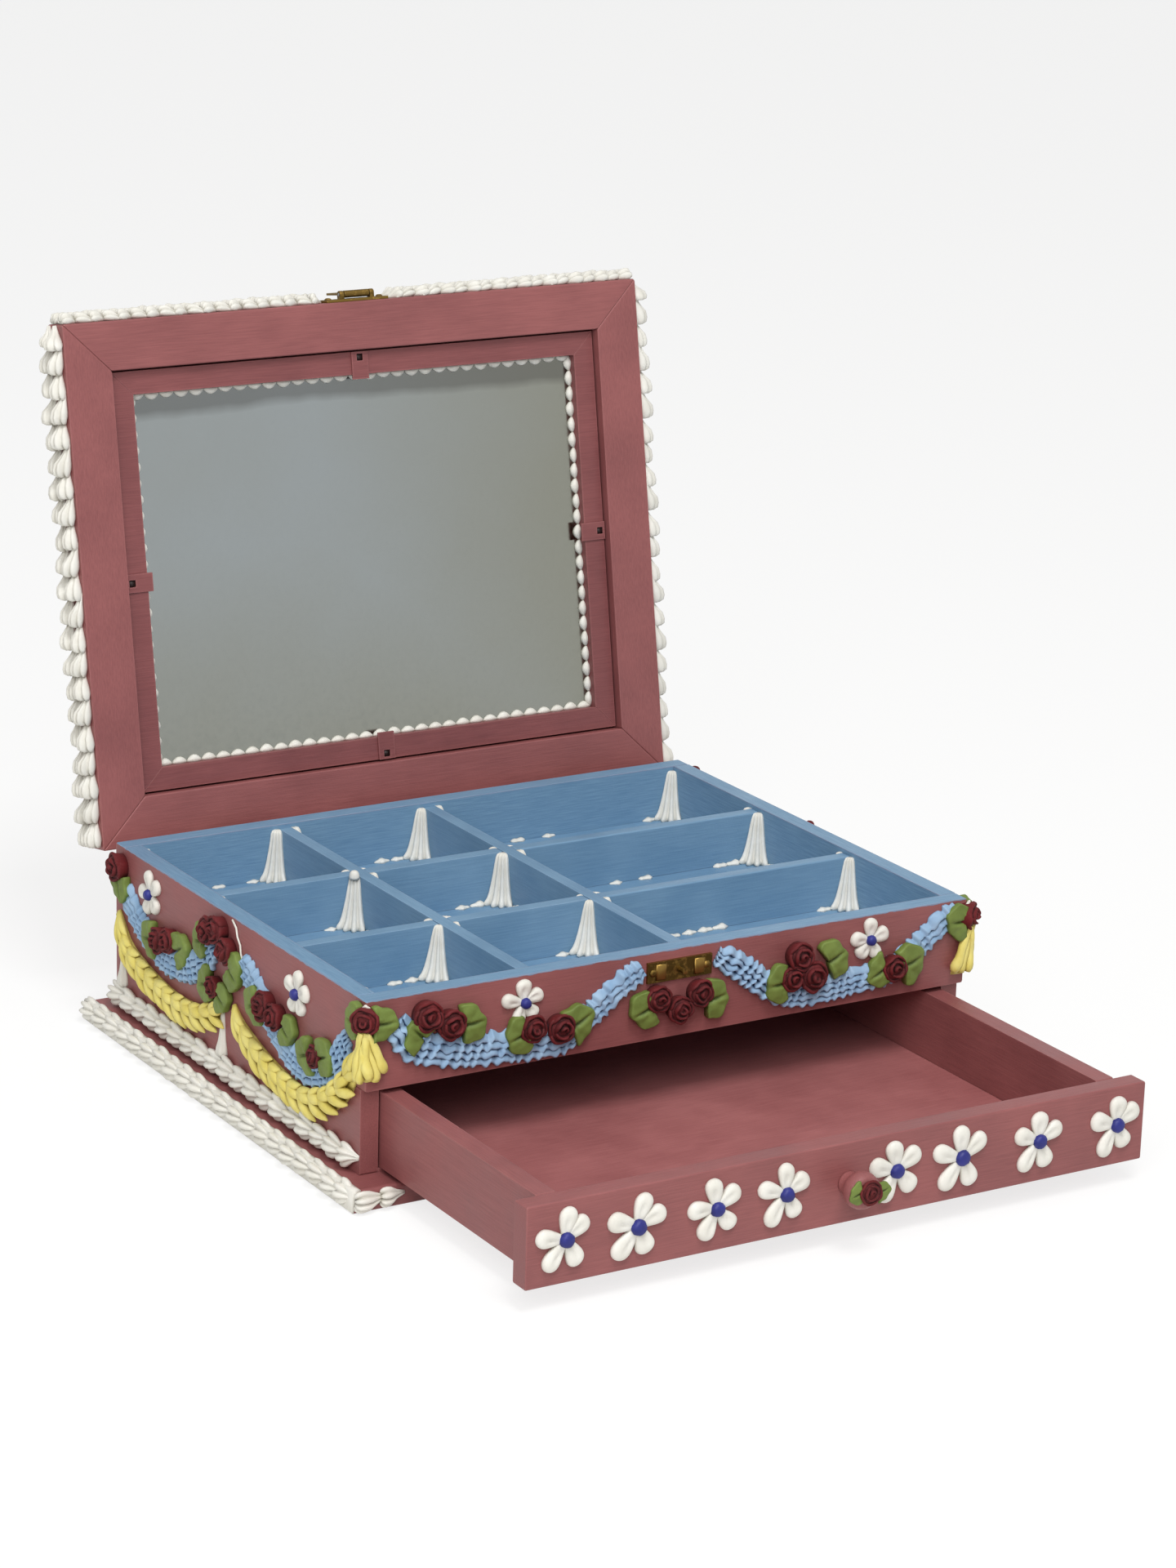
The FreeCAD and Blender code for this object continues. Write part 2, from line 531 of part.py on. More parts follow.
def shells(wall, start, end, level, width, proud, pitch):
    # A straight border of star-tip shells, each fat at its head and drawn to a tail.
    count = max(1, round(abs(end - start) / pitch))
    step = (end - start) / count
    sign = math.copysign(1, step)
    rings = []
    for index in range(count):
        for along, share in ((0.0, 0.5), (0.4, 1.0)):
            rings.append(section(wall, start + step * (index + along), level, sign, 0,
                                 width * share, proud * share))
    rings.append(section(wall, end, level, sign, 0, width * 0.5, proud * 0.5))
    return lofted(rings)


def swag(wall, left, right, sag, width, proud, pitch):
    # A ruffled garland hung between two points, fullest at its middle.
    (a0, b0), (a1, b1) = left, right
    count = 2 * max(3, round(math.hypot(a1 - a0, 2 * sag) / pitch))
    path = []
    for index in range(count + 1):
        u = 2 * index / count - 1
        path.append((a0 + (a1 - a0) * (u + 1) / 2, b0 + (b1 - b0) * (u + 1) / 2 - sag * (1 - abs(u) ** 2.4)))
    rings = []
    for index, (a, b) in enumerate(path):
        before, after = path[max(0, index - 1)], path[min(count, index + 1)]
        long = math.hypot(after[0] - before[0], after[1] - before[1])
        full = 0.5 + 0.5 * abs(math.sin(math.pi * index / count)) ** 0.6
        ruffle = 1.0 if index % 2 else 0.72
        rings.append(section(wall, a, b, (after[0] - before[0]) / long, (after[1] - before[1]) / long,
                             width * full * ruffle, proud * full * (0.75 + 0.25 * ruffle)))
    return lofted(rings)


def drop(wall, a, top, length, width, proud):
    # A hanging pulled drop, thin above and full at its foot.
    rings = [section(wall, a, top - length * along, 0, -1, width * share, proud * share)
             for along, share in ((0, 0.35), (0.55, 0.55), (0.85, 1.0), (1.0, 0.7))]
    return lofted(rings)


def column(corner, dirX, dirY, floor, top, foot, neck):
    # A fluted corner column, drawn thin upwards, that fills the angle between two boards.
    rings = []
    for level, reach in ((0, foot), (0.3, 0.68 * foot), (1, neck)):
        height = floor + (top - floor) * level
        ring = [FreeCAD.Vector(corner[0], corner[1], height)]
        for index in range(5):
            angle = math.pi / 2 * index / 4
            flute = 1.0 if index % 2 == 0 else 0.84
            ring.append(FreeCAD.Vector(corner[0] + dirX * reach * flute * math.cos(angle),
                                       corner[1] + dirY * reach * flute * math.sin(angle), height))
        rings.append(ring)
    return lofted(rings)


def piped(name, shapes, lid=False, drawer=False):
    made = doc.addObject("Part::Feature", name)
    made.Shape = Part.makeCompound(shapes)
    if lid:
        swing(made)
    if drawer:
        draw(made)
    return keep(made, name)


def trimmed(shape, others):
    # What is left of a lower run where later flowers sit on it, without crumbs.
    near = [other for other in others if other.BoundBox.intersect(shape.BoundBox)]
    left = shape.cut(near) if near else shape
    return [solid for solid in left.Solids if solid.Volume > size("crumbSide") ** 3]


top = size(rim)
bottom = size(plateTop)
wide = size("caseWidth")
deep = size("caseDepth")
flange = size("plateFlange")
thick = size("plateThick")
frontWall = Wall((0, -deep / 2, top), (1, 0, 0), (0, 0, 1))
leftWall = Wall((-wide / 2, 0, top), (0, -1, 0), (0, 0, 1))
rightWall = Wall((wide / 2, 0, top), (0, 1, 0), (0, 0, 1))

# Each front corner carries a rose over its edge, with a yellow fan below it that folds round both boards.


def cornerRose(corner, drop, radius, proud):
    return dome(corner, 0, -drop, [(0.9 * radius, -1.1 * radius), (radius, 0), (0.45 * radius, proud)], 6)


def folded(corner, b, reach, proud, sink):
    # A ring round the corner: so far along each board, so proud of it, and sunk a little into it.
    half = math.sqrt(0.5)
    spots = [(-1, reach, -sink), (-1, reach, 0.7 * proud), (0, 0, proud), (1, reach, 0.7 * proud),
             (1, reach, -sink), (0, 0, -sink)]
    return [corner.at(side * half * (along + out), b, (half if side else 2 * half) * (out - along))
            for side, along, out in spots]


def cornerFan(corner, start, length, reach, proud):
    return lofted([folded(corner, start - length * along, reach * share, proud * share, 1)
                   for along, share in ((0, 0.4), (0.4, 0.62), (0.9, 1.0), (1.0, 0.85))])


half = math.sqrt(0.5)
corners = [Wall((side * wide / 2, -deep / 2, top), (half, side * half, 0), (0, 0, 1)) for side in (-1, 1)]

# Places of the piping, below the rim and along each wall, as shares of that wall.
halfFront = wide / 2
halfSide = deep / 2
swagW, swagN, ruffle = size("swagWidth"), size("swagProud"), size("rufflePitch")
roseR, roseN = size("roseRadius"), size("roseProud")
apronTall = size("apronHeight")
tall = size("wallHeight")

frontRoses = [(-0.82, 0.24), (-0.745, 0.38), (-0.485, 0.59), (-0.395, 0.64), (-0.08, 0.50), (0.0, 0.68),
              (0.065, 0.52), (0.40, 0.30), (0.45, 0.54), (0.735, 0.64)]
frontLeaves = [(-0.93, 0.26, 0.1), (-0.86, 0.40, 1.0), (-0.67, 0.40, 0.3), (-0.55, 0.66, 2.6), (-0.325, 0.58, 0.6),
               (-0.13, 0.66, 2.4), (0.125, 0.64, 0.7), (0.34, 0.55, 2.5), (0.54, 0.37, 0.5), (0.68, 0.66, 2.8),
               (0.80, 0.60, 0.4), (0.94, 0.26, 3.0)]
frontDaisies = [(-0.51, 0.33), (0.66, 0.30)]
sideRoses = [(-0.92, 0.12), (-0.54, 0.39), (-0.10, 0.12), (0.04, 0.16), (-0.12, 0.45), (0.26, 0.36), (0.36, 0.40),
             (0.68, 0.45)]
sideLeaves = [(-0.80, 0.17, 0.4), (-0.64, 0.36, 2.5), (-0.43, 0.44, 0.6), (-0.22, 0.20, 2.7), (0.16, 0.24, 0.5),
              (0.14, 0.40, 2.4), (0.48, 0.46, 0.4), (0.56, 0.36, 2.2), (0.80, 0.40, 0.7), (-0.02, 0.44, 1.2), (0.92, 0.10, 3.0)]
sideDaisies = [(-0.69, 0.18), (0.50, 0.21)]

roses, leaves, daisies, eyes, blues, yellows, drops = [], [], [], [], [], [], []
doc.recompute()
boards = [nodes[name].Shape for name in ("apron", "side_left", "side_right")]
cornerDrop = 0.17 * apronTall
for corner in corners:
    roses += trimmed(cornerRose(corner, cornerDrop, roseR, 0.5 * roseN), boards)
for corner in corners:
    fan = cornerFan(corner, -cornerDrop - 0.5 * roseR, size("fanLength"), size("fanReach"), size("fanProud"))
    yellows += trimmed(fan, boards + roses)
atCorners = roses + yellows
faces = ((frontWall, halfFront, apronTall, frontRoses, frontLeaves, frontDaisies),
         (leftWall, halfSide, tall, sideRoses, sideLeaves, sideDaisies),
         (rightWall, -halfSide, tall, sideRoses, sideLeaves, sideDaisies))
for wall, reach, high, roseSpots, leafSpots, daisySpots in faces:
    wallRoses = [rose(wall, a * reach, -b * high, roseR, roseN) for a, b in roseSpots]
    wallDaisies = [daisy(wall, a * reach, -b * high, 0.72 * size("daisyRadius"), size("daisyProud"))
                   for a, b in daisySpots]
    eyes += [eye(wall, a * reach, -b * high, 0.8 * size("daisyEye"), size("daisyProud"), size("eyeProud"))
             for a, b in daisySpots]
    wallRoses = [solid for index, made in enumerate(wallRoses) for solid in trimmed(made, wallRoses[:index] + atCorners)]
    wallDaisies = [solid for made in wallDaisies for solid in trimmed(made, wallRoses)]
    wallLeaves = []
    for a, b, angle in leafSpots:
        made = leaf(wall, a * reach, -b * high, angle, size("leafLength"), size("leafWidth"), size("leafProud"))
        wallLeaves += trimmed(made, wallRoses + wallDaisies + wallLeaves + atCorners)
    flowers = wallRoses + wallDaisies + wallLeaves + atCorners
    if wall is frontWall:
        blueSwags = [((-0.90 * reach, -0.26 * high), (-0.13 * reach, -0.13 * high), 0.60 * high),
                     ((0.13 * reach, -0.13 * high), (0.95 * reach, -0.13 * high), 0.66 * high)]
        yellowSwags = []
    else:
        blueSwags = [((-0.90 * reach, -0.21 * high), (-0.16 * reach, -0.21 * high), 0.21 * high),
                     ((0.10 * reach, -0.20 * high), (0.86 * reach, -0.24 * high), 0.35 * high)]
        yellowSwags = [((-0.97 * reach, -0.42 * high), (-0.04 * reach, -0.52 * high), 0.24 * high),
                       ((0.02 * reach, -0.53 * high), (0.97 * reach, -0.30 * high), 0.36 * high)]
        drops += [made for a in (-0.95, -0.06) for made in trimmed(
            drop(wall, a * reach, -0.57 * high, size("dropLength"), size("dropWidth"), size("dropProud")), flowers)]
    wallBlues = []
    for left, right, sag in blueSwags:
        wallBlues += trimmed(swag(wall, left, right, sag, swagW, swagN, ruffle), flowers)
    blues += wallBlues
    for left, right, sag in yellowSwags:
        yellows += trimmed(swag(wall, left, right, sag, 1.1 * swagW, swagN, ruffle), flowers + wallBlues)
    roses += wallRoses
    daisies += wallDaisies
    leaves += wallLeaves
drops = [solid for made in drops for solid in trimmed(made, yellows)]

piped("roses", roses)
piped("leaves", leaves)
piped("daisy_petals", daisies)
piped("daisy_eyes", eyes)
piped("swags_blue", blues)
piped("swags_yellow", yellows)
piped("drops_white", drops)

# Shell borders: one in the angle of wall and plate, one round the plate's edge at both sides.
shellW, shellN, shellStep = size("shellWidth"), size("shellProud"), size("shellPitch")
edgeW = size("edgeShellWidth")
wallRow, plateRow = [], []
for side in (-1, 1):
    wall = Wall((side * wide / 2, 0, bottom), (0, side, 0), (0, 0, 1))
    wallRow.append(shells(wall, -side * size(postFace), side * deep / 2, shellW / 2, shellW, shellN, shellStep))
    edge = Wall((side * (wide / 2 + flange), 0, 0), (0, side, 0), (0, 0, 1))
    plateRow.append(shells(edge, -side * (deep / 2 + flange), side * (deep / 2 + flange), thick / 2, edgeW, shellN,
                           shellStep))
    lip = Wall((0, -deep / 2 - flange, 0), (1, 0, 0), (0, 0, 1))
    plateRow.append(shells(lip, side * (wide / 2 + flange), side * (wide / 2 + flange - size("cornerRun")), thick / 2,
                           edgeW, shellN, size("cornerRun") / 2))
piped("shells_wall", [solid for row in wallRow for solid in trimmed(row, drops + yellows)])
piped("shells_plate", plateRow)

# Domed heads of the nails and screws, flat on their plates.


def heads(wall, spots):
    radius, proud = size("screwHead"), size("screwHeadHeight")
    return [dome(wall, a, b, [(radius, 0), (radius, 0.4 * proud), (0.55 * radius, proud)], 6) for a, b in spots]


nailSpread = size("claspWidth / 2 - screwInset / 2")
claspWall = Wall((0, -size(catchFace), 0), (1, 0, 0), (0, 0, 1))
piped("catch_nails", heads(claspWall, [(side * nailSpread, size(studHeight)) for side in (-1, 1)]))
piped("clasp_nails", heads(claspWall, [(side * nailSpread, size(f"{claspLow} + claspHeight / 2"))
                                       for side in (-1, 1)]), lid=True)
screwSpots = [(hingeSide * size("hingeSpread / 2") + side * size("hingeWidth / 2 - screwInset"), 0)
              for hingeSide in (-1, 1) for side in (-1, 1)]
caseScrews = Wall((0, size(f"{halfDepth} + leafThick"), size(f"{pinZ} - {screwRow}")), (-1, 0, 0), (0, 0, 1))
lidScrews = Wall((0, size(leafFace), size(f"{pinZ} + pinBelow + {screwRow}")), (-1, 0, 0), (0, 0, 1))
piped("hinge_screws_case", heads(caseScrews, screwSpots))
piped("hinge_screws_lid", heads(lidScrews, screwSpots), lid=True)

# Fluted columns in every corner of the nine compartments.
cells = []
walls = size(insideX)
across = [(-walls, -walls + size("narrowBay"))]
across.append((across[0][1] + size("dividerThick"), across[0][1] + size("dividerThick") + size("narrowBay")))
across.append((across[1][1] + size("dividerThick"), walls))
back = size(insideY)
pitchY = size(rowPitch)
deepBays = [(-back + pitchY * n, -back + pitchY * (n + 1) - size("dividerThick")) for n in range(3)]
columns = []
for x0, x1 in across:
    for y0, y1 in deepBays:
        for cornerX, dirX in ((x0, 1), (x1, -1)):
            for cornerY, dirY in ((y0, 1), (y1, -1)):
                columns.append(column((cornerX, cornerY), dirX, dirY, size(trayFloor), top - size("columnDrop"),
                                      size("columnFoot"), size("columnTop")))
piped("tray_columns", columns)

# A low bead along the foot of every compartment's walls, between its columns.
footRoom = size("columnFoot")
beadDeep, beadTall = size("trayBeadWidth"), size("trayBeadHeight")
trayBeads = []


def footBead(start, end, inward):
    rings = []
    for spot in (start, end):
        rings.append([FreeCAD.Vector(*spot, size(trayFloor)), FreeCAD.Vector(*spot, size(trayFloor) + beadTall),
                      FreeCAD.Vector(spot[0] + inward[0] * beadDeep, spot[1] + inward[1] * beadDeep, size(trayFloor))])
    return lofted(rings)


for x0, x1 in across:
    for y0, y1 in deepBays:
        for y, way in ((y0, 1), (y1, -1)):
            trayBeads.append(footBead((x0 + footRoom, y), (x1 - footRoom, y), (0, way)))
        for x, way in ((x0, 1), (x1, -1)):
            trayBeads.append(footBead((x, y0 + footRoom), (x, y1 - footRoom), (way, 0)))
piped("tray_beads", trayBeads)

# Shells round the lid's edges and the scalloped bead against the mirror, drawn with the lid shut.
lidMiddle = size(lidUnder) + (size("frameThick") + size("panelThick")) / 2
rowStep = (size("frameThick") + size("panelThick")) / 4
lidW = size("lidShellWidth")
sideRows, frontRows = [], []
for side in (-1, 1):
    edge = Wall((side * wide / 2, 0, lidMiddle), (0, side, 0), (0, 0, 1))
    for row in (-1, 1):
        sideRows.append(shells(edge, side * (deep / 2), -side * deep / 2, row * rowStep, lidW, shellN, shellStep))
    lip = Wall((0, -deep / 2, lidMiddle), (1, 0, 0), (0, 0, 1))
    for row in (-1, 1):
        frontRows.append(shells(lip, side * (size("claspWidth") / 2 + 1), side * wide / 2, row * rowStep, lidW, shellN,
                                shellStep))
piped("lid_shells_side", sideRows, lid=True)
piped("lid_shells_front", frontRows, lid=True)
glass = size(f"{lidTop} - mirrorThick")
sightX = size(f"{paneX} - filletWidth")
sightLow = -size(f"{paneLow} - filletWidth")
sightHigh = size(f"{paneHigh} - filletWidth")
beadW, beadN = size("beadWidth"), size("beadHeight")
beads = []
for start, end, level, along in ((-sightX, sightX, sightLow, "x"), (sightX, -sightX, sightHigh, "x"),
                                 (sightLow + beadW, sightHigh - beadW, -sightX, "y"),
                                 (sightHigh - beadW, sightLow + beadW, sightX, "y")):
    sign = math.copysign(1, end - start)
    if along == "x":
        face = Wall((0, level, glass), (sign, 0, 0), (0, -sign, 0))
        inward = -1
    else:
        face = Wall((level, 0, glass), (0, sign, 0), (sign, 0, 0))
        inward = 1 if sign > 0 and level < 0 or sign < 0 and level > 0 else -1
    count = max(2, round(abs(end - start) / size("beadPitch")))
    rings = []
    for index in range(2 * count + 1):
        share = 1.0 if index % 2 else 0.6
        place = sign * (start + (end - start) * index / (2 * count))
        rings.append([face.at(place, 0, 0), face.at(place, 0, share * beadN),
                      face.at(place, inward * share * beadW, 0)])
    beads.append(lofted(rings))
piped("sight_bead", beads, lid=True)

# Eight daisies across the drawer's front, and a rose with two leaves on the knob.
drawerWall = Wall((0, -size(frontFace), size(frontMiddle)), (1, 0, 0), (0, 0, 1))
drawerSpots = [-0.885, -0.667, -0.424, -0.204, 0.155, 0.371, 0.63, 0.895]
big = size("daisyRadius")
piped("drawer_daisies", [daisy(drawerWall, a * halfFront, 0, big, size("daisyProud")) for a in drawerSpots], drawer=True)
piped("drawer_daisy_eyes", [eye(drawerWall, a * halfFront, 0, size("daisyEye"), size("daisyProud"), size("eyeProud"))
                            for a in drawerSpots], drawer=True)
knobWall = Wall((0, -size(frontFace) - size("knobLength"), size(frontMiddle)), (1, 0, 0), (0, 0, 1))
knobRose = rose(knobWall, 0, 0, 0.55 * size("knobRadius"), 0.6 * roseN)
knobLeaves = [leaf(knobWall, side * 0.55 * size("knobRadius"), 0, (math.pi + 0.5) if side < 0 else 0.5,
                   0.6 * size("knobRadius"), 0.5 * size("knobRadius"), 0.5 * size("leafProud")) for side in (-1, 1)]
piped("knob_rose", [knobRose], drawer=True)
piped("knob_leaves", [solid for made in knobLeaves for solid in trimmed(made, [knobRose])], drawer=True)

doc.recompute()
os.makedirs("parts", exist_ok=True)
for thing in doc.Objects:
    if "Invalid" in thing.State or "Error" in thing.State:
        raise RuntimeError(f"{thing.Label} did not build")
triangles = 0
for name, thing in nodes.items():
    if thing.Shape.isNull() or not thing.Shape.isValid():
        raise RuntimeError(f"{name} has no sound shape")
    triangles += len(thing.Shape.tessellate(0.2)[1])
    thing.Shape.exportStep(f"parts/{name}.step")
print(len(nodes), "nodes,", triangles, "triangles")
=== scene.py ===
import random
from math import copysign, cos, exp, hypot, pi, radians, sin, sqrt, tau
import bmesh
import bpy
from mathutils import Matrix, Vector


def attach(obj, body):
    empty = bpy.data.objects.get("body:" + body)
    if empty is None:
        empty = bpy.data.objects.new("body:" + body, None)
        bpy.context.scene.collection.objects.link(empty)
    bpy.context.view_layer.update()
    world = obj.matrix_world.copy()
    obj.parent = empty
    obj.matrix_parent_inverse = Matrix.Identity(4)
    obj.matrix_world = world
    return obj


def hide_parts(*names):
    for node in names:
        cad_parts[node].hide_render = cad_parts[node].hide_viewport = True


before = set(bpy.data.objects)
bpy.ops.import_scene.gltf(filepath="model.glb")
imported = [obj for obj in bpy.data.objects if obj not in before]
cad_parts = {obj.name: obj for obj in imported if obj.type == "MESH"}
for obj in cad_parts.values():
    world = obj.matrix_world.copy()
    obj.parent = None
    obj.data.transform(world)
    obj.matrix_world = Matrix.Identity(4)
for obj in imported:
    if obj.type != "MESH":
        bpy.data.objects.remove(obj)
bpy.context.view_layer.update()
scene = bpy.context.scene
print("frame:", len(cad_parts), "nodes")

# Sizes are millimetres in the object's frame. They become metres in boardFace and lidFace.
mm = 0.001
case = {"halfX": 140, "halfY": 111, "rim": 81, "plateTop": 9, "flange": 10, "wall": 8,
        "trayFloor": 57, "columnTop": 79.1}
bays = {"x": [(-132, -67.5), (-61.5, 3), (9, 132)],
        "y": [(-103, -38.33), (-32.33, 32.33), (38.33, 103)]}
pin = {"y": 113.8, "z": 72.6, "open": radians(99.9)}
rng = random.Random(41)
anyPhase = 6.28  # a random start for a wave or a turn lies below this


def boardFace(origin, along, up, out):
    # a flat board that paste is piped on: along it, up it and out of it
    o, u, v, w = Vector(origin), Vector(along), Vector(up), Vector(out)
    return lambda a, b, n: (o + u * a + v * b + w * n) * mm


def lidFace(origin, along, up, out):
    # the same on the lid, drawn shut and swung open about the hinge pin
    shut = boardFace(origin, along, up, out)
    c, s = cos(pin["open"]), sin(pin["open"])

    def at(a, b, n):
        p = shut(a, b, n) / mm
        y, z = p.y - pin["y"], p.z - pin["z"]
        return Vector((p.x, pin["y"] + y * c + z * s, pin["z"] - y * s + z * c)) * mm
    return at


def cornerFace(side):
    # round a front corner: a is positive on the apron and negative on the side board
    ease, half = 2.6, pi / 4

    def at(a, b, n):
        run = copysign(max(abs(a) - ease, 0), a)
        turn = half * max(-1, min(1, a / ease))
        out = Vector((side * sin(half - turn), -cos(half - turn), 0))
        x, y = case["halfX"] - max(run, 0), -case["halfY"] + max(-run, 0)
        return (Vector((side * x, y, case["rim"] + b)) + out * n) * mm
    return at


frontAt = boardFace((0, -case["halfY"], case["rim"]), (1, 0, 0), (0, 0, 1), (0, -1, 0))
sideAt = {side: boardFace((side * case["halfX"], 0, case["rim"]), (0, -1, 0), (0, 0, 1),
                          (side, 0, 0)) for side in (-1, 1)}
cornerAt = {side: cornerFace(side) for side in (-1, 1)}


class Paste:
    # gathers the skins that make one piece
    def __init__(self):
        self.verts = []
        self.faces = []

    def loft(self, rings):
        start, count = len(self.verts), len(rings[0])
        for ring in rings:
            self.verts.extend(ring)
        for row in range(len(rings) - 1):
            low = start + row * count
            for k in range(count):
                after = (k + 1) % count
                self.faces.append((low + k, low + after, low + count + after, low + count + k))
        self.faces.append(tuple(range(start + count - 1, start - 1, -1)))
        last = start + (len(rings) - 1) * count
        self.faces.append(tuple(range(last, last + count)))

    def piece(self, name, body, material, nodes=()):
        mesh = bpy.data.meshes.new(name)
        mesh.from_pydata([tuple(v) for v in self.verts], [], self.faces)
        work = bmesh.new()
        work.from_mesh(mesh)
        bmesh.ops.recalc_face_normals(work, faces=work.faces)
        for face in work.faces:
            face.smooth = True
        work.to_mesh(mesh)
        work.free()
        made = bpy.data.objects.new(name, mesh)
        scene.collection.objects.link(made)
        mesh.materials.append(material)
        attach(made, body)
        if nodes:
            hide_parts(*nodes)
        print(name, len(mesh.polygons), "faces")

    def piped(self, name, colour, node, body="case"):
        # piping is made of its colour's paste and takes the place of one CAD node
        self.piece(name, body, paste[colour], [node])


def smoothPath(points, step):
    # even steps along a smooth line through the points
    dense, fine = [], 24
    ends = [points[0]] + list(points) + [points[-1]]
    for k in range(len(points) - 1):
        p0, p1, p2, p3 = (Vector(p) for p in ends[k:k + 4])
        for part in range(fine):
            t = part / fine
            dense.append(0.5 * (2 * p1 + (p2 - p0) * t + (2 * p0 - 5 * p1 + 4 * p2 - p3) * t ** 2
                                + (3 * p1 - p0 - 3 * p2 + p3) * t ** 3))
    dense.append(Vector(points[-1]))
    lengths = [0.0]
    for before, after in zip(dense, dense[1:]):
        lengths.append(lengths[-1] + (after - before).length)
    count = max(4, round(lengths[-1] / step))
    path, k = [], 0
    for number in range(count + 1):
        goal = lengths[-1] * number / count
        while k < len(lengths) - 2 and lengths[k + 1] < goal:
            k += 1
        share = (goal - lengths[k]) / max(1e-9, lengths[k + 1] - lengths[k])
        path.append(dense[k].lerp(dense[k + 1], share))
    return path


def heading(path, k):
    run = path[min(len(path) - 1, k + 1)] - path[max(0, k - 1)]
    return run.normalized()


def hump(phi):
    # a sine that can be raised to any power
    return max(0.0, sin(phi))


def steps(count, whole=1):
    # even steps from 0 to the whole
    return [whole * k / count for k in range(count + 1)]


def ringAt(at, a, b, radii, n):
    # a closed ring about a, b with one point for each radius
    return [at(a + r * cos(turn), b + r * sin(turn), n)
            for r, turn in zip(radii, steps(len(radii), tau))]


# Materials

def linear(code):
    # sRGB hex to the linear colour that a socket takes
    parts = [int(code[k:k + 2], 16) / 255 for k in (1, 3, 5)]
    return [p / 12.92 if p <= 0.04045 else ((p + 0.055) / 1.055) ** 2.4 for p in parts] + [1.0]


def feed(node, links):
    # gives a node's sockets a value, a colour's hex code or another node's output
    for key, value in links.items():
        if isinstance(value, bpy.types.NodeSocket):
            node.id_data.links.new(value, node.inputs[key])
        else:
            node.inputs[key].default_value = linear(value) if isinstance(value, str) else value


def adder(tree):
    # add makes one node and gives the output that is wanted of it
    def add(kind, links=None, out=0, **settings):
        made = tree.nodes.new("ShaderNode" + kind)
        for key, value in settings.items():
            setattr(made, key, value)
        feed(made, links or {})
        return made.outputs[out]
    return add


def perMetre(size):
    # texture scale for a feature of this many millimetres
    return 1000 / size


def freshMaterial(name):
    made = bpy.data.materials.new(name)
    made.use_nodes = True
    return made, adder(made.node_tree), made.node_tree.nodes["Principled BSDF"]


colours = {"out": 2, "data_type": "RGBA"}  # a Mix node that mixes colours

# marks of the coat: streak is how much longer than wide, the others are sizes
coat = {"streak": 28, "blotch": 34, "grit": 1.1, "relief": 0.14, "arris": 1.1,
        "belowRim": 0.45, "shake": 5, "waver": 1.2, "blueAbove": 52, "pastWall": 0.2}
pinkLook = {"light": "#985B5A", "dark": "#834C4C", "rubbed": "#BE817E", "grain": 0.5}
blueLook = {"light": "#7B9EBA", "dark": "#678CAB", "rubbed": "#A6BDD4", "grain": 0.6}
# painted shade: near-black for the sheets set in the clip holes, where the holes are in shade
hollowShadeTone = {"light": "#241615", "dark": "#160D0C", "rubbed": "#2A1A19", "grain": 0.5}


def brushedPaint(add, look, along):
    # brush marks that run along the board, and slow blotches where the coat is thinner
    place = add("TexCoord", out="Object")
    stretch = [perMetre(look["grain"] * (coat["streak"] if axis == along else 1)) for axis in "xyz"]
    streaked = add("Mapping", {"Vector": place, "Scale": stretch})
    marks = add("TexNoise", {"Vector": streaked, "Scale": 1.0, "Detail": 4.0, "Roughness": 0.6})
    blotch = add("TexNoise", {"Vector": place, "Scale": perMetre(coat["blotch"]), "Detail": 3.0})
    both = add("Math", {0: marks, 1: blotch}, operation="ADD")
    share = add("MapRange", {0: both, 1: 0.72, 2: 1.28})
    tone = add("Mix", {0: share, 6: look["dark"], 7: look["light"]}, **colours)
    return place, marks, blotch, tone


def blueWithin(add, place, marks, tone):
    # the case boards are blue on the rim and inside the tray, down to a line cut in by hand
    streak = add("MapRange", {0: marks, 1: 0.35, 2: 0.65})
    sky = add("Mix", {0: streak, 6: blueLook["dark"], 7: blueLook["light"]}, **colours)
    part = add("SeparateXYZ", {0: place}).node.outputs
    shake = add("TexNoise", {"Vector": place, "Scale": perMetre(coat["shake"])})
    waver = add("Math", {0: shake, 1: coat["waver"] * mm, 2: -coat["waver"] / 2 * mm},
                operation="MULTIPLY_ADD")
    height = add("Math", {0: part["Z"], 1: waver}, operation="ADD")
    onRim = add("Math", {0: height, 1: (case["rim"] - coat["belowRim"]) * mm},
                operation="GREATER_THAN")
    inner = add("Math", {0: part["Z"], 1: coat["blueAbove"] * mm}, operation="GREATER_THAN")
    for axis, half in (("X", case["halfX"]), ("Y", case["halfY"])):
        off = add("Math", {0: part[axis]}, operation="ABSOLUTE")
        face = (half - case["wall"] + coat["pastWall"]) * mm
        within = add("Math", {0: off, 1: face}, operation="LESS_THAN")
        inner = add("Math", {0: inner, 1: within}, operation="MULTIPLY")
    share = add("Math", {0: inner, 1: onRim}, operation="MAXIMUM")
    return add("Mix", {0: share, 6: tone, 7: sky}, **colours)


def rubbedEdges(add, tone, rubbed, blotch):
    # arrises where the coat is knocked thin and shows paler, here more and there less
    soft = add("Bevel", {"Radius": coat["arris"] * mm}, samples=4)
    flat = add("NewGeometry", out="Normal")
    same = add("VectorMath", {0: soft, 1: flat}, "Value", operation="DOT_PRODUCT")
    edge = add("MapRange", {0: same, 1: 0.985, 2: 0.8, 4: 0.8})
    share = add("Math", {0: edge, 1: blotch}, operation="MULTIPLY")
    return add("Mix", {0: share, 6: tone, 7: rubbed}, **colours)


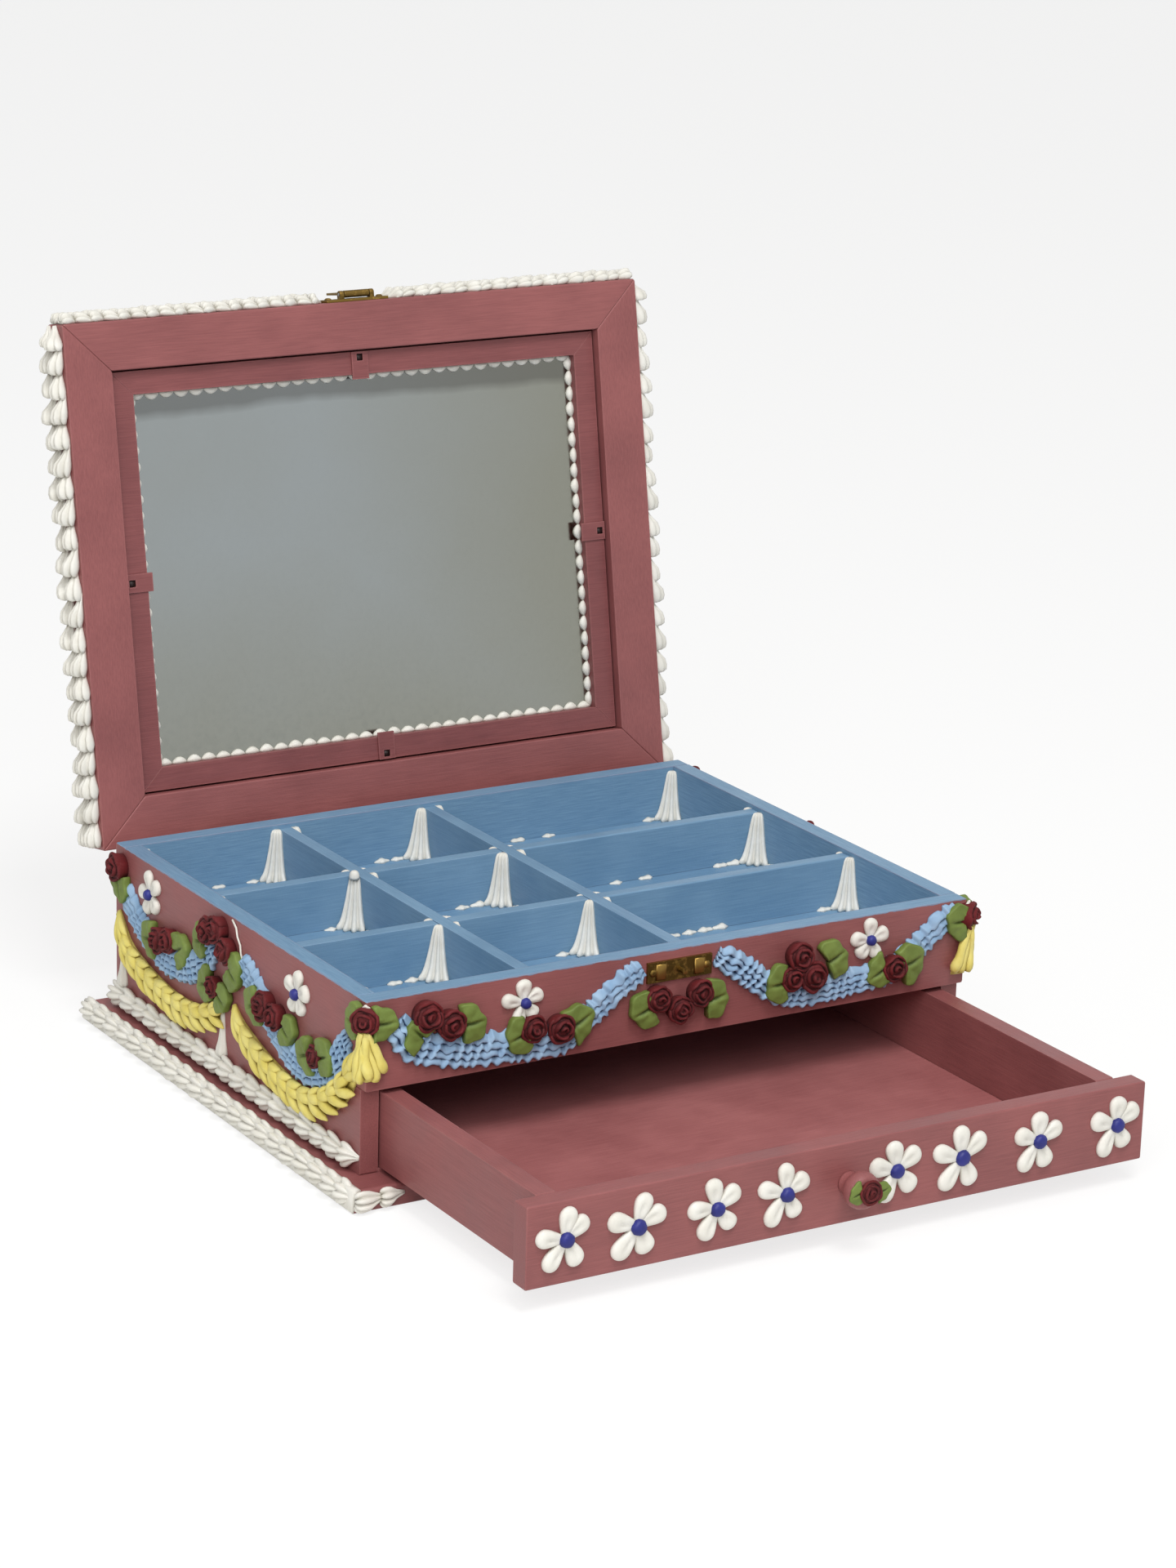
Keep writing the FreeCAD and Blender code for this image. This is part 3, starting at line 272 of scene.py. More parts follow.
def satinPaint(name, look, along, blueInside=False):
    # satin emulsion brushed on wood: fine streaks, a soft broken shine, paler arrises
    made, add, shader = freshMaterial(name)
    place, marks, blotch, tone = brushedPaint(add, look, along)
    if blueInside:
        tone = blueWithin(add, place, marks, tone)
    tone = rubbedEdges(add, tone, look["rubbed"], blotch)
    grit = add("TexNoise", {"Vector": place, "Scale": perMetre(coat["grit"])})
    relief = add("Math", {0: grit, 1: 0.5, 2: marks}, operation="MULTIPLY_ADD")
    bump = add("Bump", {"Strength": 0.55, "Distance": coat["relief"] * mm, "Height": relief})
    rough = add("MapRange", {0: blotch, 1: 0.3, 2: 0.7, 3: 0.38, 4: 0.58})
    feed(shader, {"Base Color": tone, "Roughness": rough, "Normal": bump,
                  "Specular IOR Level": 0.38})
    return made


pasteLook = {"cloud": 7, "pore": 0.9, "relief": 0.12, "fold": 2.6, "sheen": 0.18}


def driedPaste(name, light, dark, deep, gloss, foldShadeShare):
    # air-dried piping paste: matt and chalky, a soft sheen on its ridges, painted shade darkening
    # its folds
    made, add, shader = freshMaterial(name)
    place = add("TexCoord", out="Object")
    cloud = add("TexNoise", {"Vector": place, "Scale": perMetre(pasteLook["cloud"]), "Detail": 3.0})
    share = add("MapRange", {0: cloud, 1: 0.32, 2: 0.68})
    tone = add("Mix", {0: share, 6: dark, 7: light}, **colours)
    # painted shade: ambient occlusion darkens the folds and the creases between ridges toward the
    # deep tone
    near = add("AmbientOcclusion", {"Distance": pasteLook["fold"] * mm}, "AO", samples=8,
               only_local=True)
    foldShade = add("MapRange", {0: near, 1: 0.86, 2: 0.34, 4: foldShadeShare})
    pores = add("TexNoise", {"Vector": place, "Scale": perMetre(pasteLook["pore"]), "Detail": 3.0})
    tone = add("Mix", {0: foldShade, 6: tone, 7: deep}, **colours)
    bump = add("Bump", {"Strength": 0.5, "Distance": pasteLook["relief"] * mm, "Height": pores})
    rough = add("MapRange", {0: pores, 1: 0.3, 2: 0.7, 3: gloss, 4: gloss + pasteLook["sheen"]})
    feed(shader, {"Base Color": tone, "Roughness": rough, "Normal": bump,
                  "Specular IOR Level": 0.4})
    return made


brassLook = {"brown": "#554320", "gold": "#BA9752", "tarnish": 3.2, "relief": 0.1}


def agedBrass(name):
    # stamped brass gone brown: dark olive tarnish in the hollows, rubbed gold on the high places
    made, add, shader = freshMaterial(name)
    place = add("TexCoord", out="Object")
    tarnish = add("TexNoise", {"Vector": place, "Scale": perMetre(brassLook["tarnish"]),
                               "Detail": 5.0, "Roughness": 0.65})
    high = add("NewGeometry", out="Pointiness")
    brighter = add("MapRange", {0: high, 1: 0.51, 2: 0.6, 4: 0.45})
    patch = add("MapRange", {0: tarnish, 1: 0.5, 2: 0.74, 4: 0.8})
    bright = add("Math", {0: brighter, 1: patch}, operation="MAXIMUM")
    tone = add("Mix", {0: bright, 6: brassLook["brown"], 7: brassLook["gold"]}, **colours)
    bump = add("Bump", {"Strength": 0.4, "Distance": brassLook["relief"] * mm, "Height": tarnish})
    rough = add("MapRange", {0: bright, 3: 0.55, 4: 0.28})
    feed(shader, {"Base Color": tone, "Roughness": rough, "Normal": bump, "Metallic": 1.0})
    return made


mirrorLook = {"cool": "#979D9E", "brown": "#8D8E84", "bare": "#4C4A47", "left": -20, "right": 118,
              "high": 190, "low": 100, "bareFrom": 253.5, "bareTo": 257.5, "ragged": 12,
              "haze": 60, "speck": 2.5}


def silveredGlass(name):
    # old silvered mirror: grey and hazy, browner to the right and below, a painted shadow darkening
    # it along the top
    look = mirrorLook
    made, add, shader = freshMaterial(name)
    place = add("TexCoord", out="Object")
    part = add("SeparateXYZ", {0: place}).node.outputs
    across = add("MapRange", {0: part["X"], 1: look["left"] * mm, 2: look["right"] * mm})
    down = add("MapRange", {0: part["Z"], 1: look["high"] * mm, 2: look["low"] * mm, 4: 0.8})
    warm = add("Math", {0: across, 1: down}, operation="MAXIMUM")
    haze = add("TexNoise", {"Vector": place, "Scale": perMetre(look["haze"]), "Detail": 4.0})
    warm = add("Math", {0: haze, 1: 0.5, 2: warm}, operation="MULTIPLY_ADD")
    warm = add("MapRange", {0: warm, 1: 0.15, 2: 1.2})
    tone = add("Mix", {0: warm, 6: look["cool"], 7: look["brown"]}, **colours)
    # painted shadow: a ragged dark band along the top of the glass, where the top rail's shadow
    # falls
    ragged = add("Math", {0: haze, 1: look["ragged"] * mm, 2: part["Z"]}, operation="MULTIPLY_ADD")
    topShadow = add("MapRange", {0: ragged, 1: look["bareFrom"] * mm, 2: look["bareTo"] * mm, 4: 0.52})
    speck = add("TexNoise", {"Vector": place, "Scale": perMetre(look["speck"]), "Detail": 5.0})
    tone = add("Mix", {0: topShadow, 6: tone, 7: look["bare"]}, **colours)
    rough = add("MapRange", {0: speck, 1: 0.3, 2: 0.8, 3: 0.1, 4: 0.26})
    feed(shader, {"Base Color": tone, "Roughness": rough, "Metallic": 1.0})
    return made


wireLook = {"dark": "#6F7072", "light": "#A9AAAC", "dull": 1.5}


def drawnWire(name):
    # plain steel wire: grey, a little dulled, with small cloudy patches
    made, add, shader = freshMaterial(name)
    place = add("TexCoord", out="Object")
    dull = add("TexNoise", {"Vector": place, "Scale": perMetre(wireLook["dull"]), "Detail": 4.0})
    tone = add("Mix", {0: dull, 6: wireLook["dark"], 7: wireLook["light"]}, **colours)
    rough = add("MapRange", {0: dull, 1: 0.3, 2: 0.7, 3: 0.3, 4: 0.5})
    feed(shader, {"Base Color": tone, "Roughness": rough, "Metallic": 1.0})
    return made


# painted shade: a darker pink for the fillet and clips sunk in the lid's rabbet, where the frame
# shades them
rabbetShade = dict(pinkLook, light="#8A5050", dark="#744041")
# painted light: a paler pink for the drawer's back and bottom, lighter to stand in for light
# falling into the drawer
brighter = dict(pinkLook, light="#AE6D6C", dark="#985B5B")
paint = {axis: satinPaint(f"satin_pink_paint_{axis}", pinkLook, axis) for axis in "xyz"}
paintRabbetShaded = satinPaint("satin_pink_paint_painted_shade", rabbetShade, "x")
paintInsideLit = satinPaint("satin_pink_paint_painted_light_inside", brighter, "x")
hollowShadePaint = satinPaint("shadowed_hollow", hollowShadeTone, "x")
caseWood = {axis: satinPaint(f"satin_pink_and_blue_paint_{axis}", pinkLook, axis, True)
            for axis in "xy"}
bluePaint = {axis: satinPaint(f"satin_blue_paint_{axis}", blueLook, axis) for axis in "xy"}
# each paste: light and dark tones, the deep tone of its painted shade, its gloss and the share of
# that shade
paste = {
    "white": driedPaste("dried_white_paste", "#E9E7DF", "#DFDCD2", "#979080", 0.46, 0.62),
    "yellow": driedPaste("dried_yellow_paste", "#EBDE84", "#DFCE66", "#86701F", 0.45, 0.95),
    "blue": driedPaste("dried_blue_paste", "#9DBAD5", "#87A9CA", "#223A60", 0.48, 1.0),
    "rose": driedPaste("dried_dark_red_paste", "#67161A", "#531114", "#220508", 0.68, 0.9),
    "leaf": driedPaste("dried_leaf_green_paste", "#758840", "#637432", "#2A3411", 0.52, 0.9),
    "daisy_eye": driedPaste("dried_deep_blue_paste", "#282D82", "#1E2269", "#121440", 0.38, 0.75),
}
brass = agedBrass("aged_stamped_brass")
mirror = silveredGlass("old_silvered_mirror")
steel = drawnWire("drawn_steel_wire")
print("materials:", len(bpy.data.materials))

# CAD boards and fittings keep their shapes: each takes its finish and softened arrises
boards = {"round": 0.7, "fine": 0.2, "turn": 35, "weld": 0.01}
finishes = [
    (caseWood["y"], "round", ["side_left", "side_right"]),
    (caseWood["x"], "round", ["case_back", "apron"]),
    (paint["x"], "round", ["base_plate"]),
    (bluePaint["x"], "round", ["tray_floor", "divider_row_front", "divider_row_back"]),
    (bluePaint["y"], "round", ["divider_column_left", "divider_column_right"]),
    (paint["y"], "fine", ["drawer_runners"]),
    (paint["z"], "round", ["lid_stile_left", "lid_stile_right"]),
    (paint["x"], "round", ["lid_rail_front", "lid_rail_back", "lid_panel", "drawer_front"]),
    # the fillet and clips take the darker pink of painted shade
    (paintRabbetShaded, "fine", ["lid_fillet", "lid_clips"]),
    (paint["y"], "round", ["drawer_side_left", "drawer_side_right"]),
    # the drawer's back and bottom take the paler pink of painted light
    (paintInsideLit, "round", ["drawer_back", "drawer_bottom"]),
    (brass, "fine", ["hinge_leaves_case", "hinge_leaves_lid", "hinge_screws_case",
                     "hinge_screws_lid", "catch_plate", "catch_nails", "clasp_plate",
                     "clasp_nails", "hasp"]),
    (steel, "fine", ["hinge_pins", "clasp_pin", "knob_screw"]),
    (mirror, "fine", ["lid_mirror"]),
]
for material, edge, names in finishes:
    for name in names:
        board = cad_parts[name]
        for slotHere in board.material_slots:
            slotHere.material = material
        weld = board.modifiers.new("weld", "WELD")
        weld.merge_threshold = boards["weld"] * mm
        soft = board.modifiers.new("arris", "BEVEL")
        soft.width = boards[edge] * mm
        soft.segments = 2
        soft.limit_method = "ANGLE"
        soft.angle_limit = radians(boards["turn"])
        board.modifiers.new("shade", "WEIGHTED_NORMAL")
print("boards finished")

# Piping

# wall is a petal's section: shares of its thickness, lean and height. A petal has its radius,
# thickness and lean as shares of the rose's radius, and its sweep.
roseLook = {
    "radius": 6.0, "proud": 5.8, "steps": 9, "corners": 14,
    "wall": [(-1, 0, 0), (-0.75, 0.4, 0.5), (-0.55, 0.9, 0.86), (-0.1, 1, 1), (0.5, 1, 0.95),
             (0.9, 0.85, 0.74), (0.95, 0.25, 0.34), (0.8, 0, 0)],
    "heart": [(0.84, 0), (0.9, 0.2), (0.72, 0.48), (0.2, 0.66)],
    "bud": (0.17, 0.13, 0.03, 5.0),
    "whorls": [{"petal": (0.45, 0.14, 0.08, 2.6), "count": 3, "first": 0, "apart": 2.1,
                "shake": 0.25, "tall": (0.8, 0.94)},
               {"petal": (0.73, 0.15, 0.16, 1.7), "count": 5, "first": 0.7, "apart": 1.257,
                "shake": 0.22, "tall": (0.5, 0.68)}],
}


def petal(skin, at, a, b, r, plan, start, top):
    # one curled wall of a rolled rose, arched and ruffled at its top and leaning out
    radius, thick, lean = (share * r for share in plan[:3])
    rings = []
    beat = rng.uniform(0, anyPhase)
    for t in steps(roseLook["steps"]):
        angle = start + plan[3] * t
        arch = sin(pi * (0.04 + 0.92 * t)) ** 0.5
        high = top * (0.4 + 0.6 * arch) * (1 + 0.05 * sin(11 * t + beat))
        tip = lean * arch * (1 + 0.35 * sin(7 * t + beat))
        ring = []
        for across, leaning, up in roseLook["wall"]:
            reach = radius + (across * thick + leaning * tip)
            ring.append(at(a + reach * cos(angle), b + reach * sin(angle), up * high))
        rings.append(ring)
    skin.loft(rings)


def rose(skin, at, a, b, scale=1.0, lift=1.7, root=0.0, tall=1.0):
    # rolled bud, inner and outer petals over a filled heart; lift sets it on what lies below
    r, n = roseLook["radius"] * scale, roseLook["proud"] * scale * tall
    turn = rng.uniform(0, anyPhase)
    raised = lambda u, v, w: at(u, v, w + lift if w > 0 else root)
    skin.loft([ringAt(raised, a, b, [r * share] * roseLook["corners"], n * height)
               for share, height in roseLook["heart"]])
    petal(skin, raised, a, b, r, roseLook["bud"], turn, n)
    for whorl in roseLook["whorls"]:
        for k in range(whorl["count"]):
            start = turn + whorl["first"] + whorl["apart"] * k
            start += rng.uniform(-whorl["shake"], whorl["shake"])
            petal(skin, raised, a, b, r, whorl["petal"], start, n * rng.uniform(*whorl["tall"]))


leafLook = {"length": 9.4, "width": 15, "proud": 2.0, "lift": 2.3, "fan": 1.75, "half": 16,
            "steps": (0.05, 0.16, 0.3, 0.44, 0.58, 0.72, 0.84, 0.93, 0.98, 1.0)}


def leaf(skin, at, a, b, angle, scale=1.0, settle=1.0):
    # a broad fan pressed out from the rose's side: round outside, one crease out from its base
    look = leafLook
    long, wide = (look[key] * scale * rng.uniform(0.94, 1.06) for key in ("length", "width"))
    proud, lift = look["proud"] * scale, look["lift"] * settle
    beat = rng.uniform(0, anyPhase)
    baseA, baseB = a - 0.5 * long * cos(angle), b - 0.5 * long * sin(angle)
    rings = []
    for row in range(-look["half"], look["half"] + 1):
        s = row / look["half"]
        fan = copysign(abs(s) ** 1.4, s)
        turn = angle + look["fan"] * fan
        ragged = 1 + 0.08 * sin(5 * fan + beat) + 0.045 * sin(13 * fan + 2 * beat)
        reach = (long + (wide / 2 - long) * abs(fan) ** 1.3) * ragged
        spots = []
        for t in look["steps"]:
            off = t * reach * sin(look["fan"] * fan)
            body = sin(pi * (0.14 + 0.72 * t)) ** 0.5 * (0.62 if t == 1 else 1)
            vein = 0.62 * exp(-(off / (0.6 * scale)) ** 2) * max(0, min(1, (0.86 - t) / 0.4))
            lip = 0.13 * exp(-((abs(off) - 1.7 * scale) / 0.9) ** 2)
            crinkle = 0.3 * (abs(sin(6 * fan + beat)) - 0.6) * t * abs(fan) ** 0.5
            crinkle += 0.1 * sin(12 * t + 4 * fan + beat) * abs(fan)
            spots.append((t, lift + proud * max(0.1, body * (0.9 + lip + crinkle) - vein)))
        spots += [(0.99, 0.4 * lift), (0.9, 0), (0.05, 0)]
        rings.append([at(baseA + t * reach * cos(turn), baseB + t * reach * sin(turn), n)
                      for t, n in spots])
    skin.loft(rings)


def boss(skin, at, a, b, radius, proud, corners, base=0.0):
    # a dab let go from the tip: round, a little uneven
    push = [1 + rng.uniform(-0.05, 0.05) for _ in range(corners)]
    rings = []
    for t in steps(7):
        share = cos(pi / 2 * t * 0.96) ** 0.65
        height = base + (proud - base) * sin(pi / 2 * t) ** 0.9
        rings.append(ringAt(at, a, b, [radius * share * p for p in push], height))
    skin.loft(rings)


# each petal has its direction in degrees and its share of the radius
daisyLook = {"proud": 2.6, "waist": 0.125, "swell": 0.13, "full": 0.72, "rows": 14, "arc": 13,
             "middle": 0.26, "eye": 0.25, "eyeProud": 1.3, "eyeShift": 0.3,
             "loose": [(88, 0.98), (28, 0.98), (-60, 0.96), (-126, 1.12), (162, 1.02)],
             "even": [(92, 0.98), (20, 1.0), (-56, 0.95), (-118, 0.98), (172, 1.05)],
             "fat": {"loose": 1.22, "even": 1.36}}


def daisy(skin, eyes, at, a, b, radius, turn, plan="even"):
    # five pressed petals, each full at its end, drawn in to the middle and left with a groove
    look = daisyLook
    proud, full, shift = look["proud"], look["full"], look["eyeShift"]
    for degrees, share in look[plan]:
        angle = radians(degrees) + turn + rng.uniform(-0.1, 0.1)
        reach = radius * share * rng.uniform(0.95, 1.05)
        fat = look["fat"][plan] * radius / reach * rng.uniform(0.92, 1.08)
        bend = rng.uniform(-0.12, 0.12)
        rings = []
        for angleOut in steps(look["rows"], pi / 2):
            x = 0.05 + 0.95 * sin(angleOut) ** 1.1
            swell = min(1, x / full)
            swell = swell * swell * (3 - 2 * swell)
            tip = sqrt(max(0.004, 1 - ((x - full) / 0.283) ** 2)) if x > full else 1
            half = reach * fat * (look["waist"] + look["swell"] * swell) * tip
            high = proud * (0.6 + 0.4 * swell) * tip ** 0.75
            c, s = cos(angle + bend * x), sin(angle + bend * x)
            ring = []
            for phi in steps(look["arc"], pi):
                q = cos(phi)
                dip = 0.42 * exp(-((q - 0.15) / 0.26) ** 2 - ((x - 0.52) / 0.2) ** 2)
                n = high * (hump(phi) ** 0.65 - dip)
                ring.append(at(a + c * x * reach - s * q * half, b + s * x * reach + c * q * half,
                               max(0, n)))
            rings.append(ring)
        skin.loft(rings)
    boss(skin, at, a, b, look["middle"] * radius, 0.78 * proud, 14)
    boss(eyes, at, a + rng.uniform(-shift, shift), b + rng.uniform(-shift, shift),
         look["eye"] * radius, proud + look["eyeProud"], 16, 0.5 * proud)


blueSwagLook = {"proud": 3.2, "step": 0.5, "arc": 12}


def ruffledSwag(skin, at, points, width, rows, pitch):
    # soft ribbons laid like shingles and waving together: wavy dark lines run along between them
    step, proud, arc = (blueSwagLook[key] for key in ("step", "proud", "arc"))
    path = smoothPath(points, step)
    last = len(path) - 1
    drift = rng.uniform(0, anyPhase)
    for row in range(rows):
        middle = 1 - (2 * row + 1) / rows
        rings = []
        for k, spot in enumerate(path):
            run, far = heading(path, k), k * step
            full = 0.6 + 0.4 * min(1, sin(pi * (0.01 + 0.98 * k / last)) * 4.5)
            half = width / 2 * full
            band = 2 * half / rows
            slow = 1.2 * sin(0.27 * far + drift)
            u = far + slow + 0.6 * sin(0.61 * far + 1.9 * row + drift)
            turn = tau * u / pitch + 0.5 * row
            swing = 0.25 + 0.09 * sin(0.37 * far + 2.3 * row + drift)
            high = proud * (0.7 + 0.3 * sqrt(1 - middle * middle)) * (0.6 + 0.4 * full)
            ring = []
            for phi in steps(arc, pi):
                c = cos(phi)
                lag = turn + 0.5 * c
                sway = swing * sin(lag) + 0.1 * sin(2 * lag + 0.8)
                v = half * middle + band * (sway + 0.76 * c)
                crest = 0.88 + 0.18 * sin(lag + 1.0)
                n = high * hump(phi) ** 0.5 * (0.74 - 0.42 * c) * crest
                ring.append(at(spot.x - run.y * v, spot.y + run.x * v, n))
            rings.append(ring)
        skin.loft(rings)


fingerLook = {"sides": 8, "flat": 0.9}


def finger(skin, at, spots, radii):
    # one ridge of paste: a round run that follows its spots, each along, up and out
    rings = []
    for k, (a, b, n) in enumerate(spots):
        before, after = spots[max(0, k - 1)], spots[min(len(spots) - 1, k + 1)]
        da, db = after[0] - before[0], after[1] - before[1]
        long = max(1e-6, hypot(da, db))
        ring = []
        for phi in steps(fingerLook["sides"], tau)[:-1]:
            s, h = radii[k] * cos(phi), radii[k] * fingerLook["flat"] * sin(phi)
            ring.append(at(a - db / long * s, b + da / long * s, max(0, n + h)))
        rings.append(ring)
    skin.loft(rings)


# a ridge's start and end across the width, its share of the reach and of the thickness
yellowSwagLook = {"width": 11.5, "spacing": 8.6, "reach": 15, "ridge": 2.75, "step": 0.5,
                  "ridges": [(0.22, 0.46, 0.85, 0.85), (0.26, 0.0, 1.05, 1.0),
                             (0.22, -0.6, 0.95, 1.0)],
                  "bed": [(4.8, 0), (4.0, 1.2), (0, 1.8), (-4.0, 1.2), (-4.8, 0)], "bedStep": 4}


def featheredSwag(skin, at, *points):
    # thick ridges laid slantwise one after another: lumps along the top, pointed teeth at the foot
    look = yellowSwagLook
    step = look["step"]
    path = smoothPath(points, step)
    last = len(path) - 1
    bed = []
    for k in range(0, last + 1, look["bedStep"]):
        spot, run = path[k], heading(path, k)
        full = 0.6 + 0.4 * min(1, sin(pi * k / last) * 2)
        bed.append([at(spot.x - run.y * v * full, spot.y + run.x * v * full, n * full)
                    for v, n in look["bed"]])
    skin.loft(bed)
    place = 0.0
    while place < last * step - 0.4 * look["reach"]:
        along = min(1, (place + 5) / (last * step))
        full = 0.74 + 0.26 * min(1, sin(pi * along) * 1.8)
        for start, end, share, thick in look["ridges"]:
            far = look["reach"] * share * rng.uniform(0.92, 1.08)
            end += rng.uniform(-0.06, 0.06)
            spots, radii = [], []
            for t in steps(9):
                k = min(last, int((place + far * t) / step))
                run = heading(path, k)
                v = full * look["width"] * (start + (end - start) * t ** 1.5)
                body = (0.2 + 0.8 * sin(pi * (0.1 + 0.6 * t))) * (1 - 0.82 * t ** 6)
                r = look["ridge"] * thick * full * body
                rise = full * (0.6 * sin(pi * (0.1 + 0.7 * t)) + 1.3 * t * t)
                spots.append((path[k].x - run.y * v, path[k].y + run.x * v, 0.6 * r + rise))
                radii.append(r)
            finger(skin, at, spots, radii)
        place += look["spacing"] * rng.uniform(0.88, 1.12)


# bedRows go down the fan: share of its height, half width, height off the board
corner = {"rose": -7.2, "leaf": 9.8, "leafDrop": 1.6, "top": -11.6, "foot": -34.6, "spread": 10,
          "neck": 2.0, "ridges": 6, "steps": 12,
          "bed": [(-1, 0), (-0.8, 1), (-0.3, 1.2), (0.3, 1.2), (0.8, 1), (1, 0)],
          "bedRows": [(0, 2.2, 1.5), (0.36, 5, 1.4), (0.72, 8.6, 1.2), (0.9, 9, 0.6)]}


def cornerFan(skin, at):
    # bold ridges pulled down over the corner, wavering and flared at their ragged feet
    tall, neck = corner["top"] - corner["foot"], corner["neck"]
    for ridge in range(corner["ridges"]):
        fan = ridge / 2.5 - 1
        long = tall * rng.uniform(0.8, 1.0) * (1 - 0.12 * abs(fan))
        spots, radii = [], []
        for t in steps(corner["steps"]):
            waver = 0.8 * sin(7 * t + 2.3 * ridge) * t
            rise = 1.3 + 1.0 * (1 - t) + 1.1 * t * t + 0.5 * (ridge % 2)
            spots.append((fan * (neck + (corner["spread"] - neck) * t ** 1.2) + waver,
                          corner["top"] - long * t, rise + 0.35 * sin(9 * t + 1.7 * ridge)))
            ruffle = 1 + 0.12 * sin(11 * t + 2.1 * ridge)
            radii.append((1.2 + 1.5 * t) * (1 - 0.5 * t ** 14) * ruffle)
        finger(skin, at, spots, radii)
    skin.loft([[at(wide * s, corner["top"] - tall * t, n * h) for s, h in corner["bed"]]
               for t, wide, n in corner["bedRows"]])


# profile runs from head to tail: shares of length, width and height
shellLook = {"ridges": 4, "fine": 6,
             "profile": [(0.0, 0.42, 0.3), (0.03, 0.74, 0.68), (0.1, 0.95, 0.94), (0.2, 1.0, 1.0),
                         (0.33, 0.9, 0.92), (0.48, 0.68, 0.68), (0.64, 0.46, 0.46),
                         (0.8, 0.33, 0.32), (1.0, 0.2, 0.2)]}


def shell(skin, at, a, b, way, long, wide, proud, skew):
    # a star-tip shell: a curled, lobed head drawn to a thin tail under the next one
    ridges = shellLook["ridges"]
    count = shellLook["fine"] * ridges
    twist = rng.uniform(-0.2, 0.2)
    rings = []
    for t, w, h in shellLook["profile"]:
        ring = []
        for phi in steps(count, pi):
            lobe = abs(sin(ridges * (phi + twist * sin(phi)))) ** 0.8
            swell = 0.62 + 0.38 * lobe
            push = -0.2 * long * lobe * max(0, 1 - 3 * t)
            side = -wide / 2 * w * swell * cos(phi) + skew * wide * (0.3 - t)
            ring.append(at(a + way * max(0, 0.12 * long + t * 0.88 * long + push), b + side,
                           proud * h * swell * hump(phi) ** 0.8))
        rings.append(ring)
    skin.loft(rings)


def shellRow(skin, at, look, row=1):
    # size gives pitch, width and height, lay gives overlap, roughness and skew
    (start, end), (pitch, wide, proud) = look["run"], look["size"]
    overlap, rough, skew = look["lay"]
    count = max(1, round(abs(end - start) / pitch))
    step = (end - start) / count
    way = copysign(1, step)
    for k in range(count):
        size = rng.uniform(0.92 - rough, 1.0)
        slip = rng.uniform(0, rough) * abs(step)
        long = min(abs(step) * overlap, abs(end - start - k * step) - slip)
        level = row * look["up"] + rng.uniform(-1, 1) * (0.2 + rough)
        shell(skin, at, start + k * step + way * slip, level, way, long, wide * size, proud * size,
              skew * (1 if k % 2 else -1) * rng.uniform(0.6, 1.2))


dropLook = {"wide": 7, "proud": 3.4, "arc": 12,
            "profile": [(0, 0.34), (0.2, 0.4), (0.45, 0.5), (0.65, 0.66), (0.82, 0.92),
                        (0.93, 1.0), (1.0, 0.8)]}


def hangingDrop(skin, at, a, top, foot):
    # pulled down thin and pressed full at its foot, with shallow flutes
    rings = []
    for t, w in dropLook["profile"]:
        ring = []
        for phi in steps(dropLook["arc"], pi):
            share = w * (0.9 + 0.1 * cos(6 * phi))
            ring.append(at(a - dropLook["wide"] / 2 * share * cos(phi),
                           top - (top - foot) * t, dropLook["proud"] * share * hump(phi) ** 0.8))
        rings.append(ring)
    skin.loft(rings)


white, yellow, blue, red, green, petals, eyes = (Paste() for _ in range(7))

# Places along each board and below the rim: the apron from left to right, the sides from back to
# front. Roses: scale. Leaves: direction, scale. Daisies: radius, turn. Swags: width, rows, pitch.
front = {
    "roses": [(-115, -8.6, 1.08), (-104.8, -13.8, 1.08), (-68, -21.6, 1.0), (-55.6, -23.6, 1.05),
              (-10.9, -18.6, 0.98), (-0.6, -24.6, 0.98), (8.9, -19.2, 0.98), (56, -11.2, 1.05),
              (62.4, -20.6, 1.15), (52.6, -20, 0.95), (102.7, -23.6, 0.98)],
    "leaves": [(-119.6, -14.6, 2.4, 0.95), (-93.5, -14.8, 0.1, 1.0), (-75.4, -24.6, 3.5, 0.95),
               (-45.8, -21.6, 0.5, 1.08), (-18.6, -23.4, 3.5, 1.0), (17.6, -22.2, 0.2, 1.05),
               (44.6, -22, 3.2, 1.0), (74.6, -13.8, 0.5, 1.05), (94.4, -25, 3.6, 0.95),
               (112.6, -22, 0.35, 1.05)],
    "daisies": [(-71, -11.0, 9.2, 0.0), (91.6, -10.6, 9.2, -0.1)],
    "blue": [([(-127, -9.7), (-119, -20.5), (-99, -26), (-81, -27.6), (-62, -28.6), (-48, -28.2)],
              11.8, 4, 4.8), ([(-56, -28), (-42, -21.5), (-29, -11.8), (-17.6, -5.4)], 8.6, 3, 4.8),
             ([(17.6, -5.6), (29, -12.2), (42, -22), (54, -27.4), (69.5, -28), (85, -26.6),
               (99, -26)], 9.8, 4, 4.6),
             ([(94, -28), (105, -23.4), (115, -17), (124, -10.4), (134.5, -4)], 8.8, 3, 5.2)],
}
